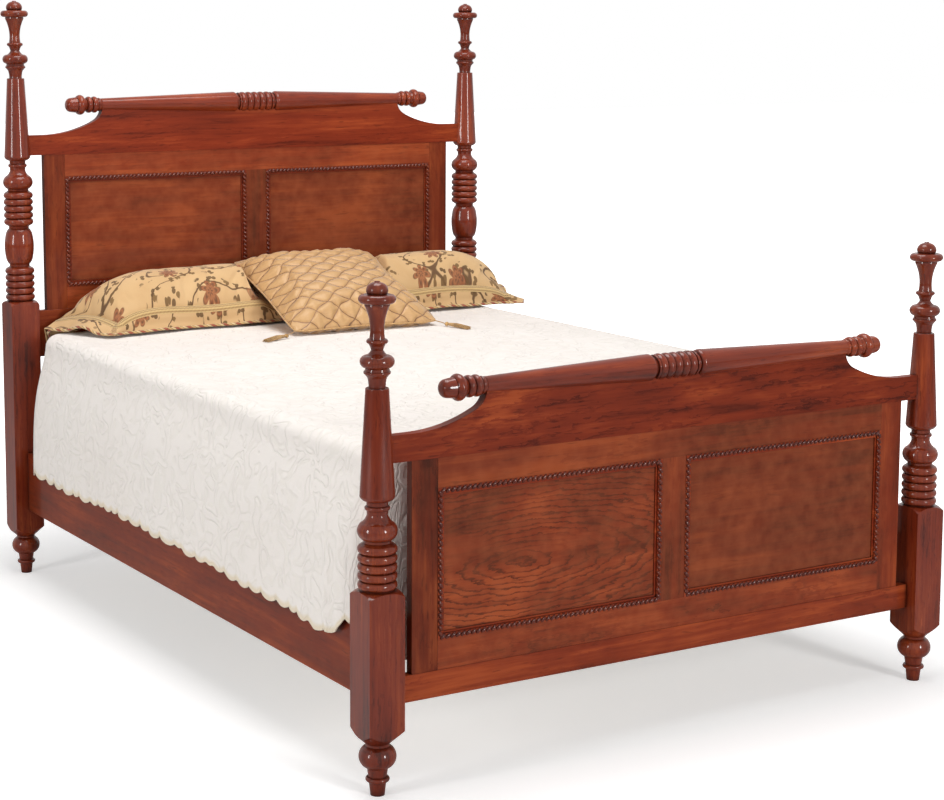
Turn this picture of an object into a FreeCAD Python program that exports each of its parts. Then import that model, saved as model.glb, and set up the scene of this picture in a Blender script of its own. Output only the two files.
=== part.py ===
import FreeCAD, Part
import math
import os
import Sketcher

# A four-post bed with turned posts, a panelled headboard and footboard, and its bedding.
# Millimetres. X runs across the bed, Y from foot to head, Z up. The origin is on the floor,
# under the middle of the bed.

DRIVING_SIZES = {
    # whole bed
    "post_span_x": 1600.0,       # between the axes of the two foot posts
    "post_span_y": 2172.0,       # between the axes of a foot post and a head post
    "fit": 0.15,                 # clearance on each side of a glued or pushed-in joint
    "soft_gap": 0.4,             # clearance round soft pieces
    # turned foot under each square block
    "tip_radius": 16.0,
    "tip_top_radius": 19.5,
    "tip_height": 31.0,
    "ankle_ring_radius": 27.0,
    "ankle_ring_height": 11.0,
    "ankle_radius": 20.6,
    "foot_ball_low": 62.0,       # height of the ball's lower edge above the floor
    "foot_ball_height": 51.0,
    "foot_ball_radius": 42.0,
    "foot_neck_radius": 27.0,
    "foot_cone_start": 118.0,
    # square block
    "block_width": 88.9,
    "block_edge_round": 1.6,
    "block_bottom": 150.0,
    "foot_block_top": 449.0,
    "head_block_top": 835.0,
    "shoulder_rise": 14.0,
    "shoulder_radius": 38.0,
    "shoulder_step": 1.2,
    # beads
    "bead_pitch": 20.0,
    "bead_radius": 44.0,
    "bead_groove_radius": 37.0,
    # barrel between the two bead groups of a head post
    "barrel_gap": 10.0,
    "barrel_length": 109.5,
    "barrel_end_radius": 30.0,
    "barrel_shoulder_radius": 40.0,
    "barrel_shoulder_length": 18.0,
    "barrel_radius": 44.0,
    # ball, ring and tapered section above the beads
    "upper_groove_radius": 31.0,
    "upper_ball_start": 9.0,
    "upper_ball_end": 45.8,
    "upper_ball_end_radius": 38.0,
    "upper_ball_swell": 9.8,
    "upper_neck_height": 65.4,
    "upper_neck_radius": 23.0,
    "ring_start": 74.3,
    "ring_height": 11.2,
    "ring_radius": 28.0,
    "taper_neck_radius": 24.0,
    "taper_start": 105.6,
    "taper_bottom_radius": 39.0,
    "taper_bevel_height": 11.4,
    "taper_length": 236.4,
    "taper_top_radius": 26.0,
    "taper_rim_round": 2.0,
    # finial
    "tenon_radius": 10.0,
    "tenon_length": 30.0,
    "finial_foot_radius": 19.0,
    "finial_ring_height": 30.0,
    "finial_ring_radius": 29.8,
    "finial_flare_radius": 21.6,
    "finial_groove_radius": 27.4,
    "finial_ball_start": 44.0,
    "finial_ball_height": 27.0,
    "finial_ball_radius": 37.8,
    "finial_ball_end_radius": 24.0,
    "finial_neck_height": 82.5,
    "finial_neck_radius": 13.3,
    "finial_collar_height": 101.0,
    "finial_collar_radius": 23.6,
    "finial_waist_radius": 16.2,
    "finial_trumpet_height": 178.0,
    "finial_trumpet_radius": 27.5,
    "finial_flange_height": 192.5,
    "finial_flange_radius": 41.0,
    "finial_flange_thickness": 17.0,
    "acorn_radius": 24.0,
    "acorn_start": 203.0,
    "acorn_shoulder": 216.0,
    "acorn_top": 228.0,
    "acorn_nub_radius": 7.0,
    "finial_height": 231.0,
    # crest rails
    "rail_thickness": 25.0,
    "rail_end_from_axis": 10.0,  # a rail stops this far short of a post's axis
    "foot_crest_bottom": 740.0,
    "head_crest_bottom": 1289.0,
    "crest_end_height": 60.5,
    "crest_shoulder_from_axis": 273.0,  # from a post's axis, and so are the other "from_axis" sizes
    "scoop_first_run": 26.0,
    "scoop_first_drop": 37.8,
    "scoop_first_sag": 6.0,
    "scoop_end_from_axis": 80.0,
    "scoop_second_sag": 9.9,
    "crest_round": 1.2,
    # blanket rolls
    "roll_axis_above": 149.3,    # above the crest rail's lower edge
    "roll_seat": 12.0,           # the crest rail stops this far below the roll's axis
    "roll_seat_relief": 1.5,     # the slot for the crest rail is this much longer at each end
    "roll_bead_pitch": 21.6,
    "roll_bead_radius": 31.2,
    "roll_groove_radius": 25.4,
    "roll_ring_radius": 29.6,
    "roll_ring_width": 6.0,
    "roll_cove_radius": 23.6,
    "roll_cove_width": 6.0,
    "roll_centre_radius": 32.0,
    "roll_nose": 11.0,
    "roll_end_radius": 18.7,
    "roll_collar_from_axis": 269.0,
    "roll_collar_radius": 20.6,
    "roll_bead_from_axis": 260.0,
    "roll_bead_width": 18.5,
    "roll_end_bead_radius": 25.0,
    "roll_end_neck_radius": 18.6,
    "roll_flange_from_axis": 216.0,
    "roll_flange_width": 24.0,
    "roll_flange_radius": 31.5,
    "roll_acorn_radius": 23.6,
    "roll_acorn_tip_radius": 21.4,
    "roll_acorn_length": 18.0,
    "roll_end_from_axis": 159.0,
    # panel frames
    "frame_thickness": 22.0,
    "frame_from_axis": 80.5,
    "stile_width": 67.0,
    "centre_stile_width": 70.0,
    "foot_frame_bottom": 261.0,
    "head_frame_bottom": 814.0,
    "frame_rail_width": 68.0,
    "board_round": 1.0,
    "panel_thickness": 10.0,
    "groove_depth": 8.0,
    "panel_expansion": 1.0,
    "moulding_width": 12.5,
    "moulding_proud": 1.0,
    "lip_width": 5.0,
    "lip_height": 3.0,
    # lower rails
    "foot_rail_bottom": 200.0,
    "head_rail_bottom": 672.0,
    # side rails and their hardware
    "side_rail_outset": 4.5,     # beyond the axes of the posts
    "side_rail_thickness": 25.0,
    "side_rail_bottom": 204.0,
    "side_rail_height": 178.0,
    "plate_width": 18.0,
    "plate_height": 128.0,
    "plate_thickness": 3.0,
    "hook_thickness": 3.0,
    "hook_height": 26.0,
    "hook_reach": 14.0,
    "hook_drop": 9.0,
    "hook_spacing": 64.0,
    "screw_radius": 2.0,
    "screw_head_radius": 4.0,
    "screw_head_height": 2.4,
    "screw_length": 30.0,
    "screw_inset": 7.0,          # from the end of a plate to its screw
    # slats
    "cleat_width": 25.0,
    "cleat_height": 38.0,
    "cleat_lift": 6.0,           # above the side rail's lower edge
    "cleat_end_gap": 61.55,      # from a post's block
    "cleat_screw_inset": 130.0,
    "slat_width": 89.0,
    "slat_thickness": 19.0,
    "slat_inset": 70.0,          # from the end of a cleat to the middle of the last slat
    "leg_width": 38.0,
    # bedding
    "bed_side_gap": 38.0,        # from the posts' axes in to the mattress, which is 1524 wide
    "bed_end_gap": 70.0,         # and 2032 long
    "spring_height": 200.0,
    "mattress_height": 279.0,
    "bed_corner_round": 60.0,
    "spread_thickness": 5.0,
    "spread_end_inset": 16.0,    # from the mattress's ends, where it turns down
    "spread_drop_inset": 27.0,
    "spread_end_hem": 372.0,
    "spread_end_clear": 8.0,
    "spread_hem": 342.0,
    "spread_hem_out": 50.0,      # beyond the mattress's side
    "spread_mid_height": 570.0,
    "spread_mid_out": 41.0,
    "mattress_edge_round": 32.0,
    "sham_width": 760.0,
    "sham_gap": 14.0,            # between the two shams
    "sham_pair_x": 77.0,         # the pair lies a little to the right of the bed's middle
    "sham_front_from_axis": 236.0,  # the seam, with the border hanging in front of it
    "sham_back_from_axis": 22.0,
    "sham_seam_height": 66.0,
    "sham_crown_height": 163.0,
    "sham_border_slant": 15.0,
    "sham_border_thickness": 5.0,
    "cushion_side": 508.0,
    "cushion_thickness": 142.0,
    "cushion_centre_x": 116.0,
    "cushion_front_from_axis": 536.0,
    "cushion_gap": 0.9,          # to the shams that it lies back on
    "cushion_front_lift": 11.5,
    "cushion_slope": 19.6,       # degrees
    "cushion_turn": -2.5,        # degrees
    "tassel_cord_length": 26.0,
    "tassel_cord_radius": 2.0,
    "tassel_knot_radius": 7.0,
    "tassel_skirt_length": 84.0,
    "tassel_skirt_radius": 9.0,
}

BEADS_IN_GROUP = 5
SLAT_COUNT = 6
CLEAT_SCREW_COUNT = 5
HALF_DIAGONAL = 0.707107      # half the diagonal of a square of side one

document = FreeCAD.newDocument("spindle_bed")
sheet = document.addObject("Spreadsheet::Sheet", "Sizes")
for row, (alias, number) in enumerate(DRIVING_SIZES.items(), start=1):
    sheet.set(f"A{row}", alias.replace("_", " "))
    sheet.set(f"B{row}", str(number))
    sheet.setAlias(f"B{row}", alias)
document.recompute()


class Size:
    # A length that knows both its number and the expression that ties it to the sheet.
    def __init__(self, value, text):
        self.value = value
        self.text = text

    def __add__(self, other):
        other = as_size(other)
        return Size(self.value + other.value, f"({self.text} + {other.text})")

    def __sub__(self, other):
        other = as_size(other)
        return Size(self.value - other.value, f"({self.text} - {other.text})")

    def __mul__(self, other):
        other = as_size(other)
        return Size(self.value * other.value, f"({self.text} * {other.text})")

    def __truediv__(self, other):
        other = as_size(other)
        return Size(self.value / other.value, f"({self.text} / {other.text})")

    def __radd__(self, other):
        return as_size(other) + self

    def __rsub__(self, other):
        return as_size(other) - self

    def __rmul__(self, other):
        return as_size(other) * self

    def __neg__(self):
        return as_size(0) - self


def as_size(number):
    return number if isinstance(number, Size) else Size(float(number), f"({number})")


def size(alias):
    return Size(float(sheet.get(alias)), f"Sizes.{alias}")


pieces = {}


def inside_posts(alias):
    # A place on the right, given by its distance in from the axis of the right post.
    return size("post_span_x") / 2 - size(alias)


def before_head(alias):
    return size("post_span_y") / 2 - size(alias)


def keep(name, solid):
    solid.Label = name
    pieces[name] = solid
    return solid


def in_order(pair):
    return sorted((as_size(end) for end in pair), key=lambda end: end.value)


def box(name, x_pair, y_pair, z_pair):
    # A block between two limits on each axis, given in either order.
    solid = document.addObject("Part::Box", name)
    limits = [in_order(pair) for pair in (x_pair, y_pair, z_pair)]
    for side, (low, high) in zip(("Length", "Width", "Height"), limits):
        solid.setExpression(side, (high - low).text)
    for axis, (low, high) in zip("xyz", limits):
        solid.setExpression(f"Placement.Base.{axis}", low.text)
    return solid


def place(solid, x_place, y_place, z_place):
    for axis, value in zip("xyz", (x_place, y_place, z_place)):
        solid.setExpression(f"Placement.Base.{axis}", as_size(value).text)


DIRECTIONS = {"+Z": FreeCAD.Rotation(),
              "+X": FreeCAD.Rotation(FreeCAD.Vector(0, 1, 0), 90),
              "-X": FreeCAD.Rotation(FreeCAD.Vector(0, 1, 0), -90),
              "+Y": FreeCAD.Rotation(FreeCAD.Vector(1, 0, 0), -90),
              "-Y": FreeCAD.Rotation(FreeCAD.Vector(1, 0, 0), 90)}


def rod(name, radius, length, direction, at):
    solid = document.addObject("Part::Cylinder", name)
    solid.setExpression("Radius", radius.text)
    solid.setExpression("Height", length.text)
    solid.Placement = FreeCAD.Placement(FreeCAD.Vector(), DIRECTIONS[direction])
    place(solid, *at)
    return solid


def cone(name, radius, end_radius, length, direction, at):
    solid = document.addObject("Part::Cone", name)
    solid.setExpression("Radius1", radius.text)
    solid.setExpression("Radius2", end_radius.text)
    solid.setExpression("Height", length.text)
    solid.Placement = FreeCAD.Placement(FreeCAD.Vector(), DIRECTIONS[direction])
    place(solid, *at)
    return solid


def joined(name, solids):
    solid = document.addObject("Part::MultiFuse", name)
    solid.Shapes = solids
    return solid


def without(name, base, tools):
    tool = tools[0] if len(tools) == 1 else joined(name + "_tools", tools)
    solid = document.addObject("Part::Cut", name)
    solid.Base = base
    solid.Tool = tool
    return solid


def group(name, solids):
    compound = document.addObject("Part::Compound", name)
    compound.Links = solids
    return keep(name, compound)


def eased(name, base, axis):
    # Rounds the four long edges of a board that runs along the axis.
    document.recompute()
    radius = size("board_round").value
    edges = []
    for number, edge in enumerate(base.Shape.Edges, start=1):
        ends = edge.Vertexes
        run = ends[1].Point - ends[0].Point
        if abs(run.normalize().dot(axis)) > 0.999:
            edges.append((number, radius, radius))
    solid = document.addObject("Part::Fillet", name)
    solid.Base = base
    solid.Edges = edges
    return solid


def origin_plane(body, role):
    return next(plane for plane in body.Origin.OriginFeatures if plane.Role == role)


def arc_middle(start, end, bow):
    # The middle of the arc that stands off its chord by bow, on the right of the way along it.
    run = end - start
    right = FreeCAD.Vector(run.y, -run.x, 0).normalize()
    return (start + end) * 0.5 + right * bow


def outline(body, role, name, points):
    # A closed outline. Each point is (across, up), or (across, up, bow) where an arc leaves it.
    sketch = body.newObject("Sketcher::SketchObject", name)
    sketch.AttachmentSupport = [(origin_plane(body, role), "")]
    sketch.MapMode = "FlatFace"
    points = [tuple(as_size(part) for part in point) for point in points]
    places = [FreeCAD.Vector(point[0].value, point[1].value, 0) for point in points]
    following = places[1:] + places[:1]
    curves = []
    for point, start, end in zip(points, places, following):
        if len(point) == 3:
            curves.append(Part.Arc(start, arc_middle(start, end, point[2].value), end))
        else:
            curves.append(Part.LineSegment(start, end))
    sketch.addGeometry(curves, False)
    starts = []
    for number, start in enumerate(places):
        forward = (sketch.getPoint(number, 1) - start).Length < 1e-6
        starts.append(1 if forward else 2)
    constraints = []
    bound = []
    for number, point in enumerate(points):
        before = number - 1 if number else len(points) - 1
        constraints.append(Sketcher.Constraint("Coincident", before, 3 - starts[before],
                                               number, starts[number]))
        for kind, axis, value in (("DistanceX", -2, point[0]), ("DistanceY", -1, point[1])):
            if value.value == 0:
                constraints.append(Sketcher.Constraint("PointOnObject", number,
                                                       starts[number], axis))
            else:
                bound.append((len(constraints), value))
                constraints.append(Sketcher.Constraint(kind, -1, 1, number,
                                                       starts[number], value.value))
        if len(point) == 3:
            after = points[(number + 1) % len(points)]
            radius = arc_radius(point, after)
            bound.append((len(constraints), radius))
            constraints.append(Sketcher.Constraint("Radius", number, radius.value))
    sketch.addConstraint(constraints)
    for number, value in bound:
        sketch.setExpression(f"Constraints[{number}]", value.text)
    return sketch


def arc_radius(point, after):
    across = after[0] - point[0]
    up = after[1] - point[1]
    bow = point[2] if point[2].value > 0 else -point[2]
    return ((across * across + up * up) / 4 + bow * bow) / (bow * 2)


def turned(name, points, axis_name):
    # A solid of revolution about the sketch's own axis.
    body = document.addObject("PartDesign::Body", name)
    sketch = outline(body, "XZ_Plane", name + "_profile", points)
    turning = body.newObject("PartDesign::Revolution", name + "_turning")
    turning.Profile = sketch
    turning.ReferenceAxis = (sketch, [axis_name])
    turning.Angle = 360
    sketch.Visibility = False
    return body


def beads(first, pitch, count, radius, groove):
    # The profile of a row of round beads that starts at height first.
    return [(groove, first + pitch * number, radius - groove) for number in range(count)]


# ---- posts ----

def foot_profile():
    ankle_top = size("tip_height") + size("ankle_ring_height")
    ankle_swell = size("ankle_ring_radius") - size("ankle_radius")
    ball_low = size("foot_ball_low")
    ball_swell = size("foot_ball_radius") - (size("ankle_radius") + size("foot_neck_radius") + 3) / 2
    return [(0, 0),
            (size("tip_radius"), 0),
            (size("tip_top_radius"), size("tip_height")),
            (size("ankle_radius"), size("tip_height"), ankle_swell),
            (size("ankle_radius"), ankle_top),
            (size("ankle_radius") + 3, ball_low, ball_swell),
            (size("foot_neck_radius"), ball_low + size("foot_ball_height")),
            (size("foot_neck_radius"), size("foot_cone_start")),
            (block_corner(), size("block_bottom"))]


def block_corner():
    # Distance from a post's axis to the corner of its square block.
    return size("block_width") * HALF_DIAGONAL


def shoulder_profile(block_top):
    return [(block_corner(), block_top, 2.2),
            (size("shoulder_radius"), block_top + size("shoulder_rise"))]


def bead_profile(first):
    return beads(first, size("bead_pitch"), BEADS_IN_GROUP, size("bead_radius"),
                 size("bead_groove_radius"))


def barrel_profile(first):
    start = first + size("barrel_gap")
    end = start + size("barrel_length")
    run = size("barrel_shoulder_length")
    end_radius = size("barrel_end_radius")
    shoulder = size("barrel_shoulder_radius")
    return [(size("bead_groove_radius"), first),
            (end_radius, first + 4),
            (end_radius, start, 1.6),
            (shoulder, start + run, size("barrel_radius") - shoulder),
            (shoulder, end - run, 1.6),
            (end_radius, end),
            (end_radius, end + size("barrel_gap") - 4)]


def crown_profile(first):
    # From the last bead to the top of the tapered section.
    taper_start = first + size("taper_start")
    taper_top = taper_start + size("taper_length")
    rim = size("taper_rim_round")
    ring = first + size("ring_start")
    ring_base = size("upper_neck_radius") + 0.5
    neck = size("upper_neck_radius")
    return [(size("bead_groove_radius"), first),
            (size("upper_groove_radius"), first + 4.2),
            (size("upper_groove_radius"), first + size("upper_ball_start"), size("upper_ball_swell")),
            (size("upper_ball_end_radius"), first + size("upper_ball_end"), -2.6),
            (neck, first + size("upper_neck_height")),
            (ring_base, ring, size("ring_radius") - ring_base),
            (ring_base, ring + size("ring_height")),
            (size("taper_neck_radius"), taper_start - size("taper_bevel_height"), 2.6),
            (size("taper_bottom_radius"), taper_start),
            (size("taper_top_radius"), taper_top - rim, 0.6),
            (size("taper_top_radius") - rim, taper_top),
            (0, taper_top)]


def bead_start(block_top):
    return block_top + size("shoulder_rise") + size("shoulder_step")


def crown_start(end):
    group_length = size("bead_pitch") * BEADS_IN_GROUP
    if end == "foot":
        return bead_start(size("foot_block_top")) + group_length
    second = size("barrel_length") + size("barrel_gap") * 2
    return bead_start(size("head_block_top")) + group_length * 2 + second


def post_top(end):
    return crown_start(end) + size("taper_start") + size("taper_length")


def post_profile(end):
    block_top = size(end + "_block_top")
    first = bead_start(block_top)
    points = foot_profile() + shoulder_profile(block_top) + bead_profile(first)
    if end == "head":
        group_end = first + size("bead_pitch") * BEADS_IN_GROUP
        upper = group_end + size("barrel_length") + size("barrel_gap") * 2
        points += barrel_profile(group_end) + bead_profile(upper)
    return points + crown_profile(crown_start(end))


def squared(body, name):
    # Four flats that turn the widest part of the turning into a square block.
    half = size("block_width") / 2
    corner = half - size("block_edge_round")
    bow = size("block_edge_round") * (1 - math.sqrt(0.5)).__round__(6)
    waste = size("block_width")
    inner = [(half, -corner), (half, corner, bow), (corner, half), (-corner, half, bow),
             (-half, corner), (-half, -corner, bow), (-corner, -half), (corner, -half, bow)]
    sketch = outline(body, "XY_Plane", name + "_flats", inner)
    sketch.addGeometry([Part.Circle(FreeCAD.Vector(), FreeCAD.Vector(0, 0, 1), waste.value)], False)
    circle = len(inner)
    sketch.addConstraint(Sketcher.Constraint("Coincident", circle, 3, -1, 1))
    radius = sketch.addConstraint(Sketcher.Constraint("Radius", circle, waste.value))
    sketch.setExpression(f"Constraints[{radius}]", waste.text)
    document.recompute()
    before = body.Shape.Volume
    cut = body.newObject("PartDesign::Pocket", name + "_squaring")
    cut.Profile = sketch
    cut.Type = "ThroughAll"
    cut.Reversed = True
    sketch.Visibility = False
    document.recompute()
    if not body.Shape.Volume < before * 0.95:
        raise RuntimeError(name + ": the flats cut nothing")


def post(name, side, end):
    along = 1 if end == "head" else -1
    x_axis = size("post_span_x") / 2 * side
    y_axis = size("post_span_y") / 2 * along
    body = turned(name + "_turned", post_profile(end), "V_Axis")
    squared(body, name)
    place(body, x_axis, y_axis, 0)
    tools = rail_mortises(name, side, end) + plate_mortises(name, side, along)
    bore_depth = size("tenon_length") + 2
    tools.append(rod(name + "_finial_bore", size("tenon_radius") + size("fit"), bore_depth + 1,
                     "+Z", (x_axis, y_axis, post_top(end) - bore_depth)))
    return keep(name, without(name, body, tools))


def rail_mortises(name, side, end):
    # The slots that the crest rail and the lower rail are let into.
    y_axis = size("post_span_y") / 2 * (1 if end == "head" else -1)
    half = size("rail_thickness") / 2 + size("fit")
    deep = (size("post_span_x") / 2 - size("rail_end_from_axis") + size("fit")) * side
    mouth = (size("post_span_x") / 2 - size("block_width")) * side
    crest = size(end + "_crest_bottom")
    low = size(end + "_rail_bottom")
    slots = {"crest": (crest, crest + size("crest_end_height")),
             "lower": (low, size(end + "_frame_bottom"))}
    return [box(f"{name}_{slot}_slot", (deep, mouth), (y_axis - half, y_axis + half),
                (bottom - size("fit"), top + size("fit")))
            for slot, (bottom, top) in slots.items()]


def rail_end_y():
    # Where a side rail meets the face of a post's block.
    return (size("post_span_y") - size("block_width")) / 2


def rail_outer_x():
    return size("post_span_x") / 2 + size("side_rail_outset")


def rail_mid_x():
    return rail_outer_x() - size("side_rail_thickness") / 2


def rail_mid_z():
    return size("side_rail_bottom") + size("side_rail_height") / 2


def screw_heights():
    reach = size("plate_height") / 2 - size("screw_inset")
    return [rail_mid_z() - reach, rail_mid_z() + reach]


def plate_mortises(name, side, along):
    # The recess of the catch plate, the room for the hooks behind it and the screw holes.
    x_mid = rail_mid_x() * side
    face = rail_end_y() * along
    half_width = size("plate_width") / 2 + size("fit")
    half_height = size("plate_height") / 2 + size("fit")
    tools = [box(name + "_plate_recess", (x_mid - half_width, x_mid + half_width),
                 (face - 1 * along, face + size("plate_thickness") * along),
                 (rail_mid_z() - half_height, rail_mid_z() + half_height))]
    room_height = size("hook_spacing") / 2 + size("hook_height") / 2 + size("hook_drop") + 1
    room_depth = size("plate_thickness") + size("hook_reach") + 2
    tools.append(box(name + "_hook_room", (x_mid - size("hook_thickness"), x_mid + size("hook_thickness")),
                     (face, face + room_depth * along),
                     (rail_mid_z() - room_height, rail_mid_z() + room_height)))
    way = "+Y" if along > 0 else "-Y"
    for number, height in enumerate(screw_heights()):
        tools.append(rod(f"{name}_screw_hole_{number}", size("screw_radius"),
                         size("screw_length"), way, (x_mid, face, height)))
    return tools


# ---- finials ----

def finial_profile():
    ring = size("finial_ring_height")
    ring_base = size("finial_groove_radius")
    ball = size("finial_ball_start")
    ball_end = ball + size("finial_ball_height")
    ball_end_radius = size("finial_ball_end_radius")
    neck = size("finial_neck_height")
    collar = size("finial_collar_height")
    flange = size("finial_flange_height") - size("finial_flange_thickness") / 2
    flange_top = flange + size("finial_flange_thickness")
    flange_base = size("acorn_radius") + 3
    return [(0, -size("tenon_length")),
            (size("tenon_radius"), -size("tenon_length")),
            (size("tenon_radius"), 0),
            (size("finial_foot_radius"), 0, -1.2),
            (size("finial_flare_radius"), 23),
            (ring_base, ring, size("finial_ring_radius") - ring_base),
            (ring_base, ring + 7.2),
            (ring_base - 1.4, ball - 2),
            (ring_base, ball, size("finial_ball_radius") - (ring_base + ball_end_radius) / 2),
            (ball_end_radius, ball_end, -1.4),
            (size("finial_neck_radius"), neck),
            (size("finial_neck_radius") + 3, neck + 9),
            (size("finial_waist_radius") + 3, collar - 4.6,
             size("finial_collar_radius") - size("finial_waist_radius") - 2),
            (size("finial_waist_radius") + 1, collar + 5),
            (size("finial_waist_radius"), collar + 11, -5.0),
            (size("finial_trumpet_radius"), size("finial_trumpet_height")),
            (flange_base, flange, size("finial_flange_radius") - flange_base),
            (flange_base, flange_top),
            (size("acorn_radius") - 2.5, size("acorn_start"), 1.6),
            (size("acorn_radius") - 1, size("acorn_shoulder"), 2.4),
            (size("acorn_nub_radius") + 2, size("acorn_top")),
            (size("acorn_nub_radius"), size("acorn_top") + 0.6),
            (size("acorn_nub_radius") - 2, size("finial_height")),
            (0, size("finial_height"))]


def finial(name, side, end):
    along = 1 if end == "head" else -1
    body = turned(name, finial_profile(), "V_Axis")
    place(body, size("post_span_x") / 2 * side, size("post_span_y") / 2 * along, post_top(end))
    return keep(name, body)


# ---- crest rails and blanket rolls ----

def crest_rail(name, end):
    bottom = size(end + "_crest_bottom")
    end_top = bottom + size("crest_end_height")
    seat = bottom + size("roll_axis_above") - size("roll_seat")
    tip = size("post_span_x") / 2 - size("rail_end_from_axis")
    shoulder = inside_posts("crest_shoulder_from_axis")
    middle = shoulder + size("scoop_first_run")
    middle_up = seat - size("scoop_first_drop")
    points = [(-tip, bottom), (tip, bottom), (tip, end_top),
              (inside_posts("scoop_end_from_axis"), end_top, -size("scoop_second_sag")),
              (middle, middle_up, -size("scoop_first_sag")),
              (shoulder, seat), (-shoulder, seat, -size("scoop_first_sag")),
              (-middle, middle_up, -size("scoop_second_sag")),
              (-inside_posts("scoop_end_from_axis"), end_top), (-tip, end_top)]
    body = document.addObject("PartDesign::Body", name)
    sketch = outline(body, "XZ_Plane", name + "_shape", points)
    pad = body.newObject("PartDesign::Pad", name + "_board")
    pad.Profile = sketch
    pad.SideType = "Symmetric"
    pad.setExpression("Length", size("rail_thickness").text)
    sketch.Visibility = False
    document.recompute()
    top_edges = [f"Edge{number}" for number, edge in enumerate(pad.Shape.Edges, start=1)
                 if is_scoop_edge(edge, end_top.value, seat.value)]
    ease = body.newObject("PartDesign::Fillet", name + "_eased")
    ease.Base = (pad, top_edges)
    ease.setExpression("Radius", size("crest_round").text)
    place(body, 0, size("post_span_y") / 2 * (1 if end == "head" else -1), 0)
    return keep(name, body)


def is_scoop_edge(edge, low, high):
    # The long edges of the two scooped shoulders, on the front and the back of the rail.
    middle = edge.CenterOfMass
    across = abs(edge.Vertexes[0].Point.y - edge.Vertexes[-1].Point.y) > 1
    return not across and low - 0.01 < middle.z < high - 0.01


def roll_profile():
    beads_end = size("roll_bead_pitch") * BEADS_IN_GROUP / 2
    groove = size("roll_groove_radius")
    ring = size("roll_ring_radius") - groove
    cove_start = beads_end + size("roll_ring_width")
    cove_end = cove_start + size("roll_cove_width")
    first = inside_posts("roll_bead_from_axis")
    width = size("roll_bead_width")
    neck = size("roll_end_neck_radius")
    flange = inside_posts("roll_flange_from_axis")
    flange_end = flange + size("roll_flange_width")
    acorn = flange_end + size("roll_acorn_length")
    flange_base = size("roll_acorn_radius")
    bead_swell = size("roll_end_bead_radius") - neck
    right = [(beads_end, groove, ring),
             (cove_start, groove),
             (cove_start + 1, size("roll_cove_radius")),
             (cove_end, size("roll_cove_radius"), 2.6),
             (cove_end + size("roll_nose"), size("roll_centre_radius")),
             (inside_posts("crest_shoulder_from_axis"), size("roll_end_radius")),
             (inside_posts("crest_shoulder_from_axis"), neck - 0.6),
             (inside_posts("roll_collar_from_axis"), neck, size("roll_collar_radius") - neck),
             (first - 1.5, neck),
             (first, neck, bead_swell),
             (first + width, neck, bead_swell),
             (first + width * 2, neck),
             (flange, flange_base - 2, size("roll_flange_radius") - flange_base + 1),
             (flange_end, flange_base - 2),
             (flange_end + 1, flange_base),
             (acorn, size("roll_acorn_tip_radius"), 4.0),
             (inside_posts("roll_end_from_axis"), 7.0),
             (inside_posts("roll_end_from_axis"), 0)]
    left = mirrored(right)
    centre = beads(-beads_end, size("roll_bead_pitch"), BEADS_IN_GROUP,
                   size("roll_bead_radius"), groove)
    # the bead row runs along the first coordinate here
    centre = [(along, radius, -swell) for radius, along, swell in centre]
    return left + centre + [turn_over(point) for point in right]


def turn_over(point):
    # The profile is walked from left to right, so a swelling bows to the left of the way.
    return point if len(point) == 2 else (point[0], point[1], -point[2])


def mirrored(points):
    # The same profile on the other side, walked the same way: each arc leaves its other end.
    flipped = []
    for number in range(len(points) - 1, -1, -1):
        across, up = -as_size(points[number][0]), points[number][1]
        before = points[number - 1] if number else None
        if before is not None and len(before) == 3:
            flipped.append((across, up, -as_size(before[2])))
        else:
            flipped.append((across, up))
    # the first arc of the right half starts at the beads, where the row of beads takes over
    return flipped[:-1]


def blanket_roll(name, end):
    axis = size(end + "_crest_bottom") + size("roll_axis_above")
    y_axis = size("post_span_y") / 2 * (1 if end == "head" else -1)
    body = turned(name + "_turned", roll_profile(), "H_Axis")
    place(body, 0, y_axis, axis)
    half = size("rail_thickness") / 2 + size("fit")
    reach = inside_posts("crest_shoulder_from_axis") + size("roll_seat_relief")
    slot = box(name + "_seat", (-reach, reach), (y_axis - half, y_axis + half),
               (axis - size("roll_seat") + size("fit"), axis - size("block_width")))
    return keep(name, without(name, body, [slot]))


# ---- panel frames ----

def frame_levels(end):
    bottom = size(end + "_frame_bottom")
    top = size(end + "_crest_bottom")
    return bottom, bottom + size("frame_rail_width"), top - size("frame_rail_width"), top


def y_slice(end, thickness):
    middle = size("post_span_y") / 2 * (1 if end == "head" else -1)
    return (middle - thickness / 2, middle + thickness / 2)


def opening_outer_x():
    return inside_posts("frame_from_axis") - size("stile_width")


def frame_stile(name, end, side):
    bottom, opening_low, opening_high, top = frame_levels(end)
    inner = opening_outer_x() * side
    outer = inside_posts("frame_from_axis") * side
    board = eased(name + "_board", box(name + "_blank", (inner, outer),
                                       y_slice(end, size("frame_thickness")), (bottom, top)),
                  FreeCAD.Vector(0, 0, 1))
    groove = box(name + "_groove", (inner - 5 * side, inner + size("groove_depth") * side),
                 y_slice(end, size("panel_thickness") + size("fit") * 2), (bottom - 1, top + 1))
    return keep(name, without(name, board, [groove]))


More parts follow.
